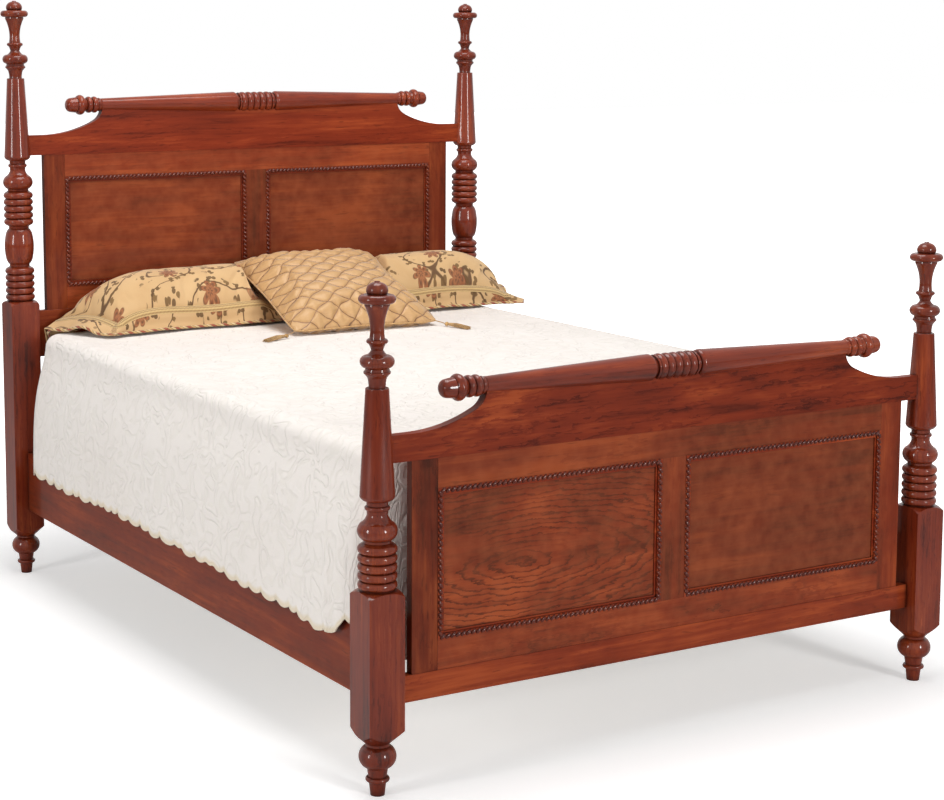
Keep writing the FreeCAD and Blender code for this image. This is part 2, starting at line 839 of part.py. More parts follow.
def frame_rail(name, end, high):
    bottom, opening_low, opening_high, top = frame_levels(end)
    outer_edge, opening_edge = (top, opening_high) if high else (bottom, opening_low)
    inward = -1 if high else 1
    reach = opening_outer_x()
    tongue = reach + size("groove_depth") - size("panel_expansion")
    board = box(name + "_board", (-reach, reach), y_slice(end, size("frame_thickness")),
                (outer_edge, opening_edge))
    tenons = box(name + "_tenons", (-tongue, tongue), y_slice(end, size("panel_thickness")),
                 (outer_edge, opening_edge))
    groove = box(name + "_groove", (-tongue - 1, tongue + 1),
                 y_slice(end, size("panel_thickness") + size("fit") * 2),
                 (opening_edge + 5 * inward, opening_edge - size("groove_depth") * inward))
    return keep(name, without(name, joined(name + "_blank", [board, tenons]), [groove]))


def centre_stile(name, end):
    bottom, opening_low, opening_high, top = frame_levels(end)
    half = size("centre_stile_width") / 2
    tongue = size("groove_depth") - size("panel_expansion")
    board = box(name + "_board", (-half, half), y_slice(end, size("frame_thickness")),
                (opening_low, opening_high))
    tenons = box(name + "_tenons", (-half, half), y_slice(end, size("panel_thickness")),
                 (opening_low - tongue, opening_high + tongue))
    grooves = [box(f"{name}_groove_{'left' if side < 0 else 'right'}",
                   ((half + 5) * side, (half - size("groove_depth")) * side),
                   y_slice(end, size("panel_thickness") + size("fit") * 2),
                   (opening_low - tongue * 2, opening_high + tongue * 2)) for side in (-1, 1)]
    return keep(name, without(name, joined(name + "_blank", [board, tenons]), grooves))


def panel(name, end, side):
    bottom, opening_low, opening_high, top = frame_levels(end)
    tongue = size("groove_depth") - size("panel_expansion")
    inner = (size("centre_stile_width") / 2 - tongue) * side
    outer = (opening_outer_x() + tongue) * side
    return keep(name, box(name, (inner, outer), y_slice(end, size("panel_thickness")),
                          (opening_low - tongue, opening_high + tongue)))


def moulding(name, end, side):
    # A picture frame of rope moulding in the front corner of the opening, with a low inner lip.
    bottom, opening_low, opening_high, top = frame_levels(end)
    near = size("centre_stile_width") / 2
    far = opening_outer_x()
    panel_face = y_slice(end, size("panel_thickness"))[0]
    front = y_slice(end, size("frame_thickness"))[0] - size("moulding_proud")

    def ring(part, inset, width, face):
        outer = box(f"{name}_{part}_outer", ((near + inset) * side, (far - inset) * side),
                    (face, panel_face), (opening_low + inset, opening_high - inset))
        inset = inset + width
        inner = box(f"{name}_{part}_inner", ((near + inset) * side, (far - inset) * side),
                    (face - 5, panel_face + 5), (opening_low + inset, opening_high - inset))
        return without(f"{name}_{part}", outer, [inner])

    rope = ring("rope", as_size(0), size("moulding_width"), front)
    lip = ring("lip", size("moulding_width"), size("lip_width"), panel_face - size("lip_height"))
    return keep(name, joined(name, [rope, lip]))


def lower_rail(name, end):
    tip = size("post_span_x") / 2 - size("rail_end_from_axis")
    blank = box(name + "_blank", (-tip, tip), y_slice(end, size("rail_thickness")),
                (size(end + "_rail_bottom"), size(end + "_frame_bottom")))
    return keep(name, eased(name, blank, FreeCAD.Vector(1, 0, 0)))


# ---- side rails, hardware and slats ----

def cleat_bottom():
    return size("side_rail_bottom") + size("cleat_lift")


def slat_seat():
    return cleat_bottom() + size("cleat_height")


def rail_inner_x():
    return rail_outer_x() - size("side_rail_thickness")


def cleat_length():
    return (rail_end_y() - size("cleat_end_gap")) * 2


def cleat_screw_span():
    return cleat_length() - size("cleat_screw_inset") * 2


def cleat_screw_places():
    step = cleat_screw_span() / (CLEAT_SCREW_COUNT - 1)
    return [step * number - cleat_screw_span() / 2 for number in range(CLEAT_SCREW_COUNT)]


def cleat_screw_holes(name, side):
    start = (rail_inner_x() - size("cleat_width")) * side
    way = "+X" if side > 0 else "-X"
    height = cleat_bottom() + size("cleat_height") / 2
    return [rod(f"{name}_cleat_hole_{number}", size("screw_radius"),
                size("screw_length") + size("screw_head_height"), way, (start, y_place, height))
            for number, y_place in enumerate(cleat_screw_places())]


def side_rail(name, side):
    face = rail_end_y()
    blank = box(name + "_blank", (rail_inner_x() * side, rail_outer_x() * side),
                (-face, face),
                (size("side_rail_bottom"), size("side_rail_bottom") + size("side_rail_height")))
    tools = cleat_screw_holes(name, side)
    half_width = size("plate_width") / 2 + size("fit")
    half_height = size("plate_height") / 2 + size("fit")
    x_mid = rail_mid_x() * side
    for along in (-1, 1):
        end = "head" if along > 0 else "foot"
        tools.append(box(f"{name}_{end}_recess", (x_mid - half_width, x_mid + half_width),
                         ((face + 1) * along, (face - size("plate_thickness")) * along),
                         (rail_mid_z() - half_height, rail_mid_z() + half_height)))
        way = "-Y" if along > 0 else "+Y"
        for number, height in enumerate(screw_heights()):
            tools.append(rod(f"{name}_{end}_hole_{number}", size("screw_radius"),
                             size("screw_length"), way, (x_mid, face * along, height)))
    return keep(name, without(name, eased(name + "_board", blank, FreeCAD.Vector(0, 1, 0)), tools))


def screw(name, direction, at):
    shank = rod(name + "_shank", size("screw_radius"), size("screw_length"), direction, at)
    head = cone(name + "_head", size("screw_head_radius"), size("screw_radius"),
                size("screw_head_height"), direction, at)
    return joined(name, [shank, head])


def countersinks(name, direction, x_mid, face):
    return [cone(f"{name}_sink_{number}", size("screw_head_radius"), size("screw_radius"),
                 size("screw_head_height"), direction, (x_mid, face, height))
            for number, height in enumerate(screw_heights())] + \
           [rod(f"{name}_hole_{number}", size("screw_radius"), size("screw_length"),
                direction, (x_mid, face, height)) for number, height in enumerate(screw_heights())]


def hook_heights():
    return [rail_mid_z() - size("hook_spacing") / 2, rail_mid_z() + size("hook_spacing") / 2]


def catch_plate(name, side, along):
    # Let into the post, with two slots for the hooks.
    x_mid = rail_mid_x() * side
    face = rail_end_y() * along
    way = "+Y" if along > 0 else "-Y"
    half = size("plate_width") / 2
    blank = box(name + "_blank", (x_mid - half, x_mid + half),
                (face, face + size("plate_thickness") * along),
                (rail_mid_z() - size("plate_height") / 2, rail_mid_z() + size("plate_height") / 2))
    slot_half = size("hook_thickness") / 2 + size("fit")
    tools = [box(f"{name}_slot_{number}", (x_mid - slot_half, x_mid + slot_half),
                 (face - 1 * along, face + (size("plate_thickness") + 1) * along),
                 (height - size("hook_height") / 2 - size("fit"),
                  height + size("hook_height") / 2 + size("hook_drop")))
             for number, height in enumerate(hook_heights())]
    return without(name, blank, tools + countersinks(name, way, x_mid, face))


def rail_hook(name, side, along):
    # Let into the end of the side rail, with two hooks that drop behind the catch plate.
    x_mid = rail_mid_x() * side
    face = rail_end_y() * along
    way = "-Y" if along > 0 else "+Y"
    half = size("plate_width") / 2
    plate = box(name + "_plate", (x_mid - half, x_mid + half),
                (face, face - size("plate_thickness") * along),
                (rail_mid_z() - size("plate_height") / 2, rail_mid_z() + size("plate_height") / 2))
    bare = without(name + "_bare", plate, countersinks(name, way, x_mid, face))
    hook_half = size("hook_thickness") / 2
    behind = face + (size("plate_thickness") + size("fit")) * along
    reach = face + (size("plate_thickness") + size("hook_reach")) * along
    solids = [bare]
    for number, height in enumerate(hook_heights()):
        low, high = height - size("hook_height") / 2, height + size("hook_height") / 2
        solids.append(box(f"{name}_tongue_{number}", (x_mid - hook_half, x_mid + hook_half),
                          (face - 1 * along, reach), (low, high)))
        solids.append(box(f"{name}_toe_{number}", (x_mid - hook_half, x_mid + hook_half),
                          (behind, reach), (low - size("hook_drop"), high)))
    return joined(name, solids)


def rail_hardware():
    plates, hooks, plate_screws = [], [], []
    for side in (-1, 1):
        for along in (-1, 1):
            place_name = ("head" if along > 0 else "foot") + ("_right" if side > 0 else "_left")
            plates.append(catch_plate("catch_plate_" + place_name, side, along))
            hooks.append(rail_hook("rail_hook_" + place_name, side, along))
            for number, height in enumerate(screw_heights()):
                at = (rail_mid_x() * side, rail_end_y() * along, height)
                outward, inward = ("+Y", "-Y") if along > 0 else ("-Y", "+Y")
                plate_screws.append(screw(f"post_screw_{place_name}_{number}", outward, at))
                plate_screws.append(screw(f"rail_screw_{place_name}_{number}", inward, at))
    group("catch_plates", plates)
    group("rail_hooks", hooks)
    group("plate_screws", plate_screws)


def cleat(name, side):
    inner = (rail_inner_x() - size("cleat_width")) * side
    way = "+X" if side > 0 else "-X"
    height = cleat_bottom() + size("cleat_height") / 2
    half_length = cleat_length() / 2
    blank = box(name + "_blank", (inner, rail_inner_x() * side), (-half_length, half_length),
                (cleat_bottom(), slat_seat()))
    sinks = [cone(f"{name}_sink_{number}", size("screw_head_radius"), size("screw_radius"),
                  size("screw_head_height"), way, (inner, y_place, height))
             for number, y_place in enumerate(cleat_screw_places())]
    return keep(name, without(name, blank, sinks + cleat_screw_holes(name, side)))


def cleat_screws():
    screws = []
    for side in (-1, 1):
        side_name = "right" if side > 0 else "left"
        start = (rail_inner_x() - size("cleat_width")) * side
        height = cleat_bottom() + size("cleat_height") / 2
        for number, y_place in enumerate(cleat_screw_places()):
            screws.append(screw(f"cleat_screw_{side_name}_{number}", "+X" if side > 0 else "-X",
                                (start, y_place, height)))
    group("cleat_screws", screws)


def slat_span():
    return cleat_length() - size("slat_inset") * 2


def slat_places():
    step = slat_span() / (SLAT_COUNT - 1)
    return [step * number - slat_span() / 2 for number in range(SLAT_COUNT)]


def slats():
    reach = rail_inner_x() - 2
    half = size("slat_width") / 2
    boards = [box(f"slat_{number}", (-reach, reach), (y_place - half, y_place + half),
                  (slat_seat(), slat_seat() + size("slat_thickness")))
              for number, y_place in enumerate(slat_places())]
    group("slats", boards)


def slat_legs():
    half = size("leg_width") / 2
    legs = [box(f"slat_leg_{number}", (-half, half), (y_place - half, y_place + half),
                (0, slat_seat()))
            for number, y_place in enumerate(slat_places()) if number % 2]
    group("slat_legs", legs)


# ---- bedding ----

def bed_width():
    return size("post_span_x") - size("bed_side_gap") * 2


def bed_length():
    return size("post_span_y") - size("bed_end_gap") * 2


def spring_bottom():
    return slat_seat() + size("slat_thickness") + size("soft_gap")


def mattress_bottom():
    return spring_bottom() + size("spring_height") + size("soft_gap")


def mattress_top():
    return mattress_bottom() + size("mattress_height")


def rounded_slab(name, bottom, height):
    # A stuffed block with rounded upright corners and softened upper and lower edges.
    body = document.addObject("PartDesign::Body", name)
    half_x = bed_width() / 2
    half_y = bed_length() / 2
    near_x = half_x - size("bed_corner_round")
    near_y = half_y - size("bed_corner_round")
    bow = size("bed_corner_round") * (1 - HALF_DIAGONAL)
    points = [(half_x, -near_y), (half_x, near_y, bow), (near_x, half_y), (-near_x, half_y, bow),
              (-half_x, near_y), (-half_x, -near_y, bow), (-near_x, -half_y), (near_x, -half_y, bow)]
    sketch = outline(body, "XY_Plane", name + "_plan", points)
    pad = body.newObject("PartDesign::Pad", name + "_pad")
    pad.Profile = sketch
    pad.setExpression("Length", height.text)
    sketch.Visibility = False
    document.recompute()
    soft = body.newObject("PartDesign::Fillet", name + "_softened")
    soft.Base = (pad, [f"Edge{number}" for number, edge in enumerate(pad.Shape.Edges, start=1)
                       if edge.BoundBox.ZLength < 1])
    soft.setExpression("Radius", size("mattress_edge_round").text)
    place(body, 0, 0, bottom)
    return keep(name, body)


def wire_of(points):
    # A closed wire of lines and arcs through (vector, bow) pairs; a bow of None is a line. The
    # bow stands off the chord to the right, seen against the wire's own normal.
    normal = (points[1][0] - points[0][0]).cross(points[2][0] - points[0][0]).normalize()
    edges = []
    for number, (start, bow) in enumerate(points):
        end = points[(number + 1) % len(points)][0]
        if bow:
            right = (end - start).cross(normal).normalize()
            edges.append(Part.Arc(start, (start + end) * 0.5 + right * bow, end).toShape())
        else:
            edges.append(Part.LineSegment(start, end).toShape())
    return Part.Wire(edges)


def lofted(name, sections):
    solid = document.addObject("Part::Feature", name)
    solid.Shape = Part.makeLoft([wire_of(section) for section in sections], True, True)
    return solid


def quarter_bow(start, end):
    # How far a quarter circle stands off its chord.
    return (end - start).Length * (HALF_DIAGONAL - 0.5)


def spread_section(y_place, drift, hem_lift):
    # The bedspread across the bed: out and over on top, back underneath.
    vector = FreeCAD.Vector
    thick = size("spread_thickness").value
    gap = size("soft_gap").value
    top = mattress_top().value + gap + thick
    edge = bed_width().value / 2 + gap + thick
    turn = size("mattress_edge_round").value + gap + thick
    hem = size("spread_hem").value + hem_lift
    hem_x = (bed_width() / 2 + size("spread_hem_out")).value + drift
    mid_x = (bed_width() / 2 + size("spread_mid_out")).value + drift * 0.6
    mid = size("spread_mid_height").value
    over = [vector(hem_x, y_place, hem), vector(mid_x, y_place, mid),
            vector(edge, y_place, top - turn), vector(edge - turn, y_place, top)]
    under = [vector(hem_x - thick, y_place, hem), vector(mid_x - thick, y_place, mid),
             vector(edge - thick, y_place, top - turn), vector(edge - turn, y_place, top - thick)]
    outer_bow = quarter_bow(over[2], over[3])
    inner_bow = -quarter_bow(under[2], under[3])
    left_over = [vector(-point.x, point.y, point.z) for point in over]
    left_under = [vector(-point.x, point.y, point.z) for point in under]
    return [(left_over[0], None), (left_over[1], None), (left_over[2], outer_bow),
            (left_over[3], None), (over[3], outer_bow), (over[2], None), (over[1], None),
            (over[0], None), (under[0], None), (under[1], None), (under[2], inner_bow),
            (under[3], None), (left_under[3], inner_bow), (left_under[2], None),
            (left_under[1], None), (left_under[0], None)]


SPREAD_FOLDS = {  # share of the length from the foot: (swing outwards, hem lift)
    0.0: (0.5, 30.0), 0.025: (2.0, 12.0), 0.05: (5.0, -10.0), 0.08: (1.0, -6.0),
    0.115: (5.0, -8.0), 0.15: (0.5, 0.0), 0.25: (2.5, -4.0), 0.4: (0.5, 2.0),
    0.55: (2.5, 4.0), 0.7: (0.5, 6.0), 0.85: (3.0, -2.0), 1.0: (7.0, 0.0)}


def spread_drop(name, end):
    # The bedspread turned down at one end of the mattress, between it and the board there.
    vector = FreeCAD.Vector
    sign = 1 if end == "head" else -1
    thick = size("spread_thickness").value
    top = mattress_top().value + size("soft_gap").value + thick
    turn = (bed_length() / 2 - size("spread_end_inset")).value * sign
    inner = (bed_length() / 2 + size("spread_end_clear")).value * sign
    outer = inner + thick * sign
    low = size("spread_end_hem").value
    bend = top - 30.0
    half = (bed_width() / 2 - size("spread_drop_inset")).value
    profile = [(vector(-half, turn, top), 5.0), (vector(-half, outer, bend), None),
               (vector(-half, outer, low), None), (vector(-half, inner, low), None),
               (vector(-half, inner, bend), -5.0), (vector(-half, turn, top - thick), None)]
    drop = document.addObject("Part::Feature", name)
    drop.Shape = Part.Face(wire_of(profile)).extrude(vector(half * 2, 0, 0))
    return drop


def bedspread(name):
    reach = (bed_length() / 2 - size("spread_end_inset")).value
    sections = [spread_section(reach * (2 * share - 1), drift, lift)
                for share, (drift, lift) in SPREAD_FOLDS.items()]
    cover = lofted(name + "_cover", sections)
    drops = [spread_drop(f"{name}_{end}_drop", end) for end in ("foot", "head")]
    return keep(name, joined(name, [cover] + drops))


SHAM_SHAPE = {  # share of the width: (seam, crown, underside) as shares of their full heights
    0.0: (0.2, 0.11, 8.0), 0.035: (0.42, 0.2, 18.0), 0.08: (0.62, 0.32, 26.0),
    0.115: (0.76, 0.52, 12.0), 0.17: (0.9, 0.72, 1.0), 0.27: (0.98, 0.9, 0.0),
    0.4: (1.0, 0.98, 0.0), 0.5: (1.0, 1.0, 0.0), 0.6: (1.0, 0.98, 0.0),
    0.73: (0.98, 0.9, 0.0), 0.83: (0.9, 0.72, 1.0), 0.885: (0.76, 0.52, 12.0),
    0.92: (0.62, 0.32, 26.0), 0.965: (0.42, 0.2, 18.0), 1.0: (0.2, 0.11, 8.0)}


def sham_floor():
    return (mattress_top() + size("soft_gap") * 3 + size("spread_thickness")).value


def sham_section(x_place, seam, crown, underside):
    # The border that hangs in front, the front seam, crown and back seam of a plump pillow lying
    # down, and its flattened underside.
    vector = FreeCAD.Vector
    front, back = before_head("sham_front_from_axis").value, before_head("sham_back_from_axis").value
    thick = size("sham_border_thickness").value
    lip = front - size("sham_border_slant").value
    floor = sham_floor()
    seam_up = floor + size("sham_seam_height").value * seam
    back_up = seam_up + 10 * crown
    crown_up = floor + size("sham_crown_height").value * crown
    low = floor + underside
    return [(vector(x_place, lip, floor + 0.6), None),
            (vector(x_place, front, seam_up), crown_up - (seam_up + back_up) / 2),
            (vector(x_place, back, back_up), None),
            (vector(x_place, back - 8, low), None),
            (vector(x_place, front + 32, low), None),
            (vector(x_place, front + thick + 2, seam_up - 6), None),
            (vector(x_place, lip + thick, floor + 0.6), None)]


def sham(name, side):
    width = size("sham_width").value
    start = size("sham_pair_x").value + size("sham_gap").value / 2 * side
    start = start if side > 0 else start - width
    whole = lofted(name + "_whole", [sham_section(start + width * share, *shape)
                                     for share, shape in SHAM_SHAPE.items()])
    dent = lofted(name + "_dent", cushion_sections(size("cushion_gap").value))
    dent.Placement = cushion_placement()
    gap = size("soft_gap")
    inner = size("post_span_x") / 2 - size("block_width") / 2 - gap
    notch = box(name + "_post_notch", (inner * side, (inner + size("block_width")) * side),
                (rail_end_y() - gap, size("post_span_y") / 2), (spring_bottom(), size("head_block_top")))
    return keep(name, without(name, whole, [dent, notch]))


def cushion_placement():
    # The square cushion lies back on the shams, its front edge down on the bedspread.
    slope = size("cushion_slope").value
    floor = mattress_top().value + size("soft_gap").value + size("spread_thickness").value
    base = FreeCAD.Vector(size("cushion_centre_x").value, before_head("cushion_front_from_axis").value,
                          floor + size("cushion_front_lift").value)
    turn = FreeCAD.Rotation(FreeCAD.Vector(0, 0, 1), size("cushion_turn").value)
    return FreeCAD.Placement(base, turn * FreeCAD.Rotation(FreeCAD.Vector(1, 0, 0), slope))


def cushion_sections(grow):
    # Crowned, with sides drawn in between the corners. X across, Y up the slope from the front.
    vector = FreeCAD.Vector
    side = size("cushion_side").value
    full = size("cushion_thickness").value / 2
    shares = [0.0, 0.04, 0.12, 0.25, 0.38, 0.5, 0.62, 0.75, 0.88, 0.96, 1.0]
    sections = []
    for share in shares:
        bulge = math.sin(math.pi * min(max(share, 0.012), 0.988)) ** 0.62
        inset = 16.0 * math.sin(math.pi * share)
        x_place = (share - 0.5) * (side + grow * 2)
        front, back = inset - grow, side - inset + grow
        seam = 2.0 + grow
        rise = (full - 2.0) * bulge
        sections.append([(vector(x_place, front, -seam), None),
                         (vector(x_place, front, seam), rise),
                         (vector(x_place, back, seam), None),
                         (vector(x_place, back, -seam), rise)])
    return sections


def cushion(name):
    solid = lofted(name, cushion_sections(0.0))
    solid.Placement = cushion_placement()
    return keep(name, solid)


TASSEL_WAYS = {"left": FreeCAD.Vector(-0.94, -0.34, 0), "right": FreeCAD.Vector(0.31, -0.95, 0)}


def tassel(name, side):
    # A cord tassel that lies on the bedspread, out from a front corner of the square cushion.
    way = TASSEL_WAYS["right" if side > 0 else "left"]
    floor = mattress_top() + size("soft_gap") * 2 + size("spread_thickness")
    skirt_radius = size("tassel_skirt_radius")
    start = (size("cushion_centre_x") + (size("cushion_side") / 2 + 3) * side,
             before_head("cushion_front_from_axis") - 6 - 8 * side, floor + skirt_radius)

    def along(distance):
        return (start[0] + distance * way.x, start[1] + distance * way.y, start[2])

    knot = document.addObject("Part::Sphere", name + "_knot")
    knot.setExpression("Radius", size("tassel_knot_radius").text)
    cord = document.addObject("Part::Cylinder", name + "_cord")
    cord.setExpression("Radius", size("tassel_cord_radius").text)
    cord.setExpression("Height", size("tassel_cord_length").text)
    skirt = document.addObject("Part::Cone", name + "_skirt")
    skirt.setExpression("Radius1", size("tassel_knot_radius").text)
    skirt.setExpression("Radius2", skirt_radius.text)
    skirt.setExpression("Height", size("tassel_skirt_length").text)
    turn = FreeCAD.Rotation(FreeCAD.Vector(0, 0, 1), way)
    for piece in (cord, knot, skirt):
        piece.Placement = FreeCAD.Placement(FreeCAD.Vector(), turn)
    place(cord, *along(as_size(0)))
    place(knot, *along(size("tassel_cord_length")))
    place(skirt, *along(size("tassel_cord_length")))
    return keep(name, joined(name, [cord, knot, skirt]))


# ---- the whole bed ----

def build():
    for end in ("foot", "head"):
        for side in (-1, 1):
            hand = "right" if side > 0 else "left"
            post(f"{end}_post_{hand}", side, end)
            finial(f"{end}_finial_{hand}", side, end)
            frame_stile(f"{end}_stile_{hand}", end, side)
            panel(f"{end}_panel_{hand}", end, side)
            moulding(f"{end}_rope_moulding_{hand}", end, side)
        crest_rail(f"{end}_crest_rail", end)
        blanket_roll(f"{end}_blanket_roll", end)
        frame_rail(f"{end}_frame_top_rail", end, True)
        frame_rail(f"{end}_frame_bottom_rail", end, False)
        centre_stile(f"{end}_centre_stile", end)
        lower_rail(f"{end}_lower_rail", end)
    for side in (-1, 1):
        hand = "right" if side > 0 else "left"
        side_rail(f"side_rail_{hand}", side)
        cleat(f"slat_cleat_{hand}", side)
    rail_hardware()
    cleat_screws()
    slats()
    slat_legs()
    rounded_slab("box_spring", spring_bottom(), size("spring_height"))
    rounded_slab("mattress", mattress_bottom(), size("mattress_height"))
    bedspread("bedspread")
    for side in (-1, 1):
        hand = "right" if side > 0 else "left"
        sham(f"pillow_sham_{hand}", side)
        tassel(f"cushion_tassel_{hand}", side)
    cushion("square_cushion")


def write_out():
    document.recompute()
    for item in document.Objects:
        if "Invalid" in item.State or "Error" in item.State:
            raise RuntimeError(f"{item.Label} did not rebuild: {item.State}")
    for name, solid in pieces.items():
        if solid.Shape.isNull() or not solid.Shape.isValid():
            raise RuntimeError(f"{name} has no valid shape")
    os.makedirs("parts", exist_ok=True)
    for name, solid in pieces.items():
        solid.Shape.exportStep(f"parts/{name}.step")
        print(name, len(solid.Shape.Solids), round(solid.Shape.Volume / 1000.0, 1), "cm3")


build()
write_out()
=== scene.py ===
import math
import random

import bpy
from mathutils import Matrix, Vector


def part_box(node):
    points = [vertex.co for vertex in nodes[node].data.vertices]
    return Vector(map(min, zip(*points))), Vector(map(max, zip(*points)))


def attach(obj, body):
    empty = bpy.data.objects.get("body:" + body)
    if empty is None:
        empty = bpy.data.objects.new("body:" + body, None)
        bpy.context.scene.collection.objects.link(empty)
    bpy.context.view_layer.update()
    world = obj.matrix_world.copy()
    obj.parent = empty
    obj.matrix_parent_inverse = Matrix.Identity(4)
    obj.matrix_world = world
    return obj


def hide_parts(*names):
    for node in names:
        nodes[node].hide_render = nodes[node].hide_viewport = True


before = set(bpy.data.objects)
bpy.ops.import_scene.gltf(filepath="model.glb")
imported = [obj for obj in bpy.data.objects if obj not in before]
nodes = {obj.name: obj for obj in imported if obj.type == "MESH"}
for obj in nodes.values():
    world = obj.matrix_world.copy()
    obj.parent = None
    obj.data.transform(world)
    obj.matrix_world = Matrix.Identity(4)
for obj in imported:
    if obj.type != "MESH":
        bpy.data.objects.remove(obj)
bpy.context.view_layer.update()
scene = bpy.context.scene


# picking, edit mode and modifiers

def pickNothing():
    bpy.ops.object.select_all(action="DESELECT")


def pickOnly(piece):
    pickNothing()
    piece.select_set(True)
    bpy.context.view_layer.objects.active = piece


def openEdit(action=None):  # edit mode, with the whole mesh picked or let go if asked
    bpy.ops.object.mode_set(mode="EDIT")
    if action:
        bpy.ops.mesh.select_all(action=action)


def closeEdit():
    bpy.ops.object.mode_set(mode="OBJECT")


def applyModifiers(piece):
    pickOnly(piece)
    for modifier in list(piece.modifiers):
        bpy.ops.object.modifier_apply(modifier=modifier.name)


def settle(piece):  # puts the object's place, turn and size into its mesh
    pickOnly(piece)
    bpy.ops.object.transform_apply(location=True, rotation=True, scale=True)


def smooth(piece, degrees=None):  # all over, or only where faces meet at less than this angle
    pickOnly(piece)
    if degrees is None:
        bpy.ops.object.shade_smooth()
    else:
        bpy.ops.object.shade_smooth_by_angle(angle=math.radians(degrees))


def outward(piece):  # doubles merged, then every face turned outwards
    pickOnly(piece)
    openEdit("SELECT")
    bpy.ops.mesh.remove_doubles(threshold=0.00005)
    bpy.ops.mesh.normals_make_consistent(inside=False)
    closeEdit()


def thicken(piece, thickness, offset=-1):  # a single sheet of cloth gets its wall
    outward(piece)
    wall = piece.modifiers.new("wall", "SOLIDIFY")
    wall.thickness = thickness
    wall.offset = offset
    applyModifiers(piece)
    smooth(piece, 60)


# pieces

def copyOf(piece, name):  # with a mesh of its own
    twin = piece.copy()
    twin.data = piece.data.copy()
    twin.name = name
    scene.collection.objects.link(twin)
    return twin


def joinAll(pieces, name):
    pickNothing()
    for piece in pieces:
        piece.select_set(True)
    bpy.context.view_layer.objects.active = pieces[0]
    bpy.ops.object.join()
    whole = bpy.context.object
    whole.name = name
    return whole


def handOver(piece, name, material, replaced=()):
    piece.name = name
    piece.data.name = name
    piece.data.materials.clear()
    piece.data.materials.append(material)
    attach(piece, "root")
    if replaced:
        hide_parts(*replaced)


def meshPiece(name, points, faces, flat=None):  # flat: each point's place on the cloth
    mesh = bpy.data.meshes.new(name)
    mesh.from_pydata(points, [], faces)
    mesh.update()
    if flat:
        layer = mesh.uv_layers.new(name="cloth")
        for loop in mesh.loops:
            layer.data[loop.index].uv = flat[loop.vertex_index]
    piece = bpy.data.objects.new(name, mesh)
    scene.collection.objects.link(piece)
    return piece


def bandFaces(count, wide, tube=False):
    # faces round a closed line that has wide points at each of its count stops
    faces = []
    for number in range(count):
        here, after = number * wide, (number + 1) % count * wide
        for row in range(wide if tube else wide - 1):
            beside = (row + 1) % wide
            faces.append((here + row, here + beside, after + beside, after + row))
    return faces


def mix(low, high, share):
    return low + (high - low) * share


def fromTable(table, at):  # straight runs between the rows of a table
    if at <= table[0][0]:
        return table[0][1]
    for (start, low), (end, high) in zip(table, table[1:]):
        if at <= end:
            return mix(low, high, (at - start) / (end - start))
    return table[-1][1]


def srgb(red, green, blue):
    def line(number):
        part = number / 255
        return part / 12.92 if part <= 0.04045 else ((part + 0.055) / 1.055) ** 2.4
    return (line(red), line(green), line(blue), 1.0)


# nodes

def newNode(tree, kind, place=(0, 0), **values):
    node = tree.nodes.new(kind)
    node.location = place
    for name, value in values.items():
        setattr(node, name, value)
    return node


def feed(tree, sockets, values):  # a value is a plain number or colour, or another node's output
    for socket, value in zip(sockets, values):
        if isinstance(value, (int, float, tuple)):
            socket.default_value = value
        else:
            tree.links.new(value, socket)


def mathNode(tree, operation, *values):
    node = newNode(tree, "ShaderNodeMath", operation=operation)
    feed(tree, node.inputs, values)
    return node.outputs[0]


def plus(tree, first, second):
    return mathNode(tree, "ADD", first, second)


def minus(tree, first, second):
    return mathNode(tree, "SUBTRACT", first, second)


def times(tree, first, second):
    return mathNode(tree, "MULTIPLY", first, second)


def mixColours(tree, share, first, second):
    node = newNode(tree, "ShaderNodeMix", data_type="RGBA", blend_type="MIX")
    feed(tree, (node.inputs[0], node.inputs[6], node.inputs[7]), (share, first, second))
    return node.outputs[2]


def ramp(tree, value, stops):
    node = newNode(tree, "ShaderNodeValToRGB")
    band = node.color_ramp
    while len(band.elements) < len(stops):
        band.elements.new(0.5)
    for element, (place, colour) in zip(band.elements, stops):
        element.position = place
        element.color = colour
    tree.links.new(value, node.inputs[0])
    return node.outputs[0]


def greyRamp(tree, value, low, high):  # a soft step from 0 at low to 1 at high
    node = newNode(tree, "ShaderNodeMapRange", interpolation_type="SMOOTHSTEP")
    feed(tree, node.inputs, (value, low, high))
    return node.outputs[0]


def fallRamp(tree, value, low, high):  # the same from 1 down to 0
    return minus(tree, 1.0, greyRamp(tree, value, low, high))


def mapped(tree, vector, scale=(1, 1, 1), turn=(0, 0, 0), shift=(0, 0, 0)):
    node = newNode(tree, "ShaderNodeMapping")
    tree.links.new(vector, node.inputs[0])
    node.inputs["Location"].default_value = shift
    node.inputs["Rotation"].default_value = turn
    node.inputs["Scale"].default_value = scale
    return node.outputs[0]


def noiseNode(tree, vector, **values):
    node = newNode(tree, "ShaderNodeTexNoise")
    tree.links.new(vector, node.inputs["Vector"])
    for label, value in values.items():
        node.inputs[label].default_value = value
    return node.outputs


def noiseOf(tree, vector, scale, detail=2.0, rough=0.5, warp=0.0):
    outputs = noiseNode(tree, vector, Scale=scale, Detail=detail, Roughness=rough, Distortion=warp)
    return outputs["Fac"]


def partsOf(tree, vector):  # its X, Y and Z
    node = newNode(tree, "ShaderNodeSeparateXYZ")
    tree.links.new(vector, node.inputs[0])
    return node.outputs


def objectPlace(tree):
    return newNode(tree, "ShaderNodeTexCoord", (-1200, 0)).outputs["Object"]


def clothPlace(tree):  # metres on the unrolled cloth
    return newNode(tree, "ShaderNodeUVMap", (-1800, 0), uv_map="cloth").outputs[0]


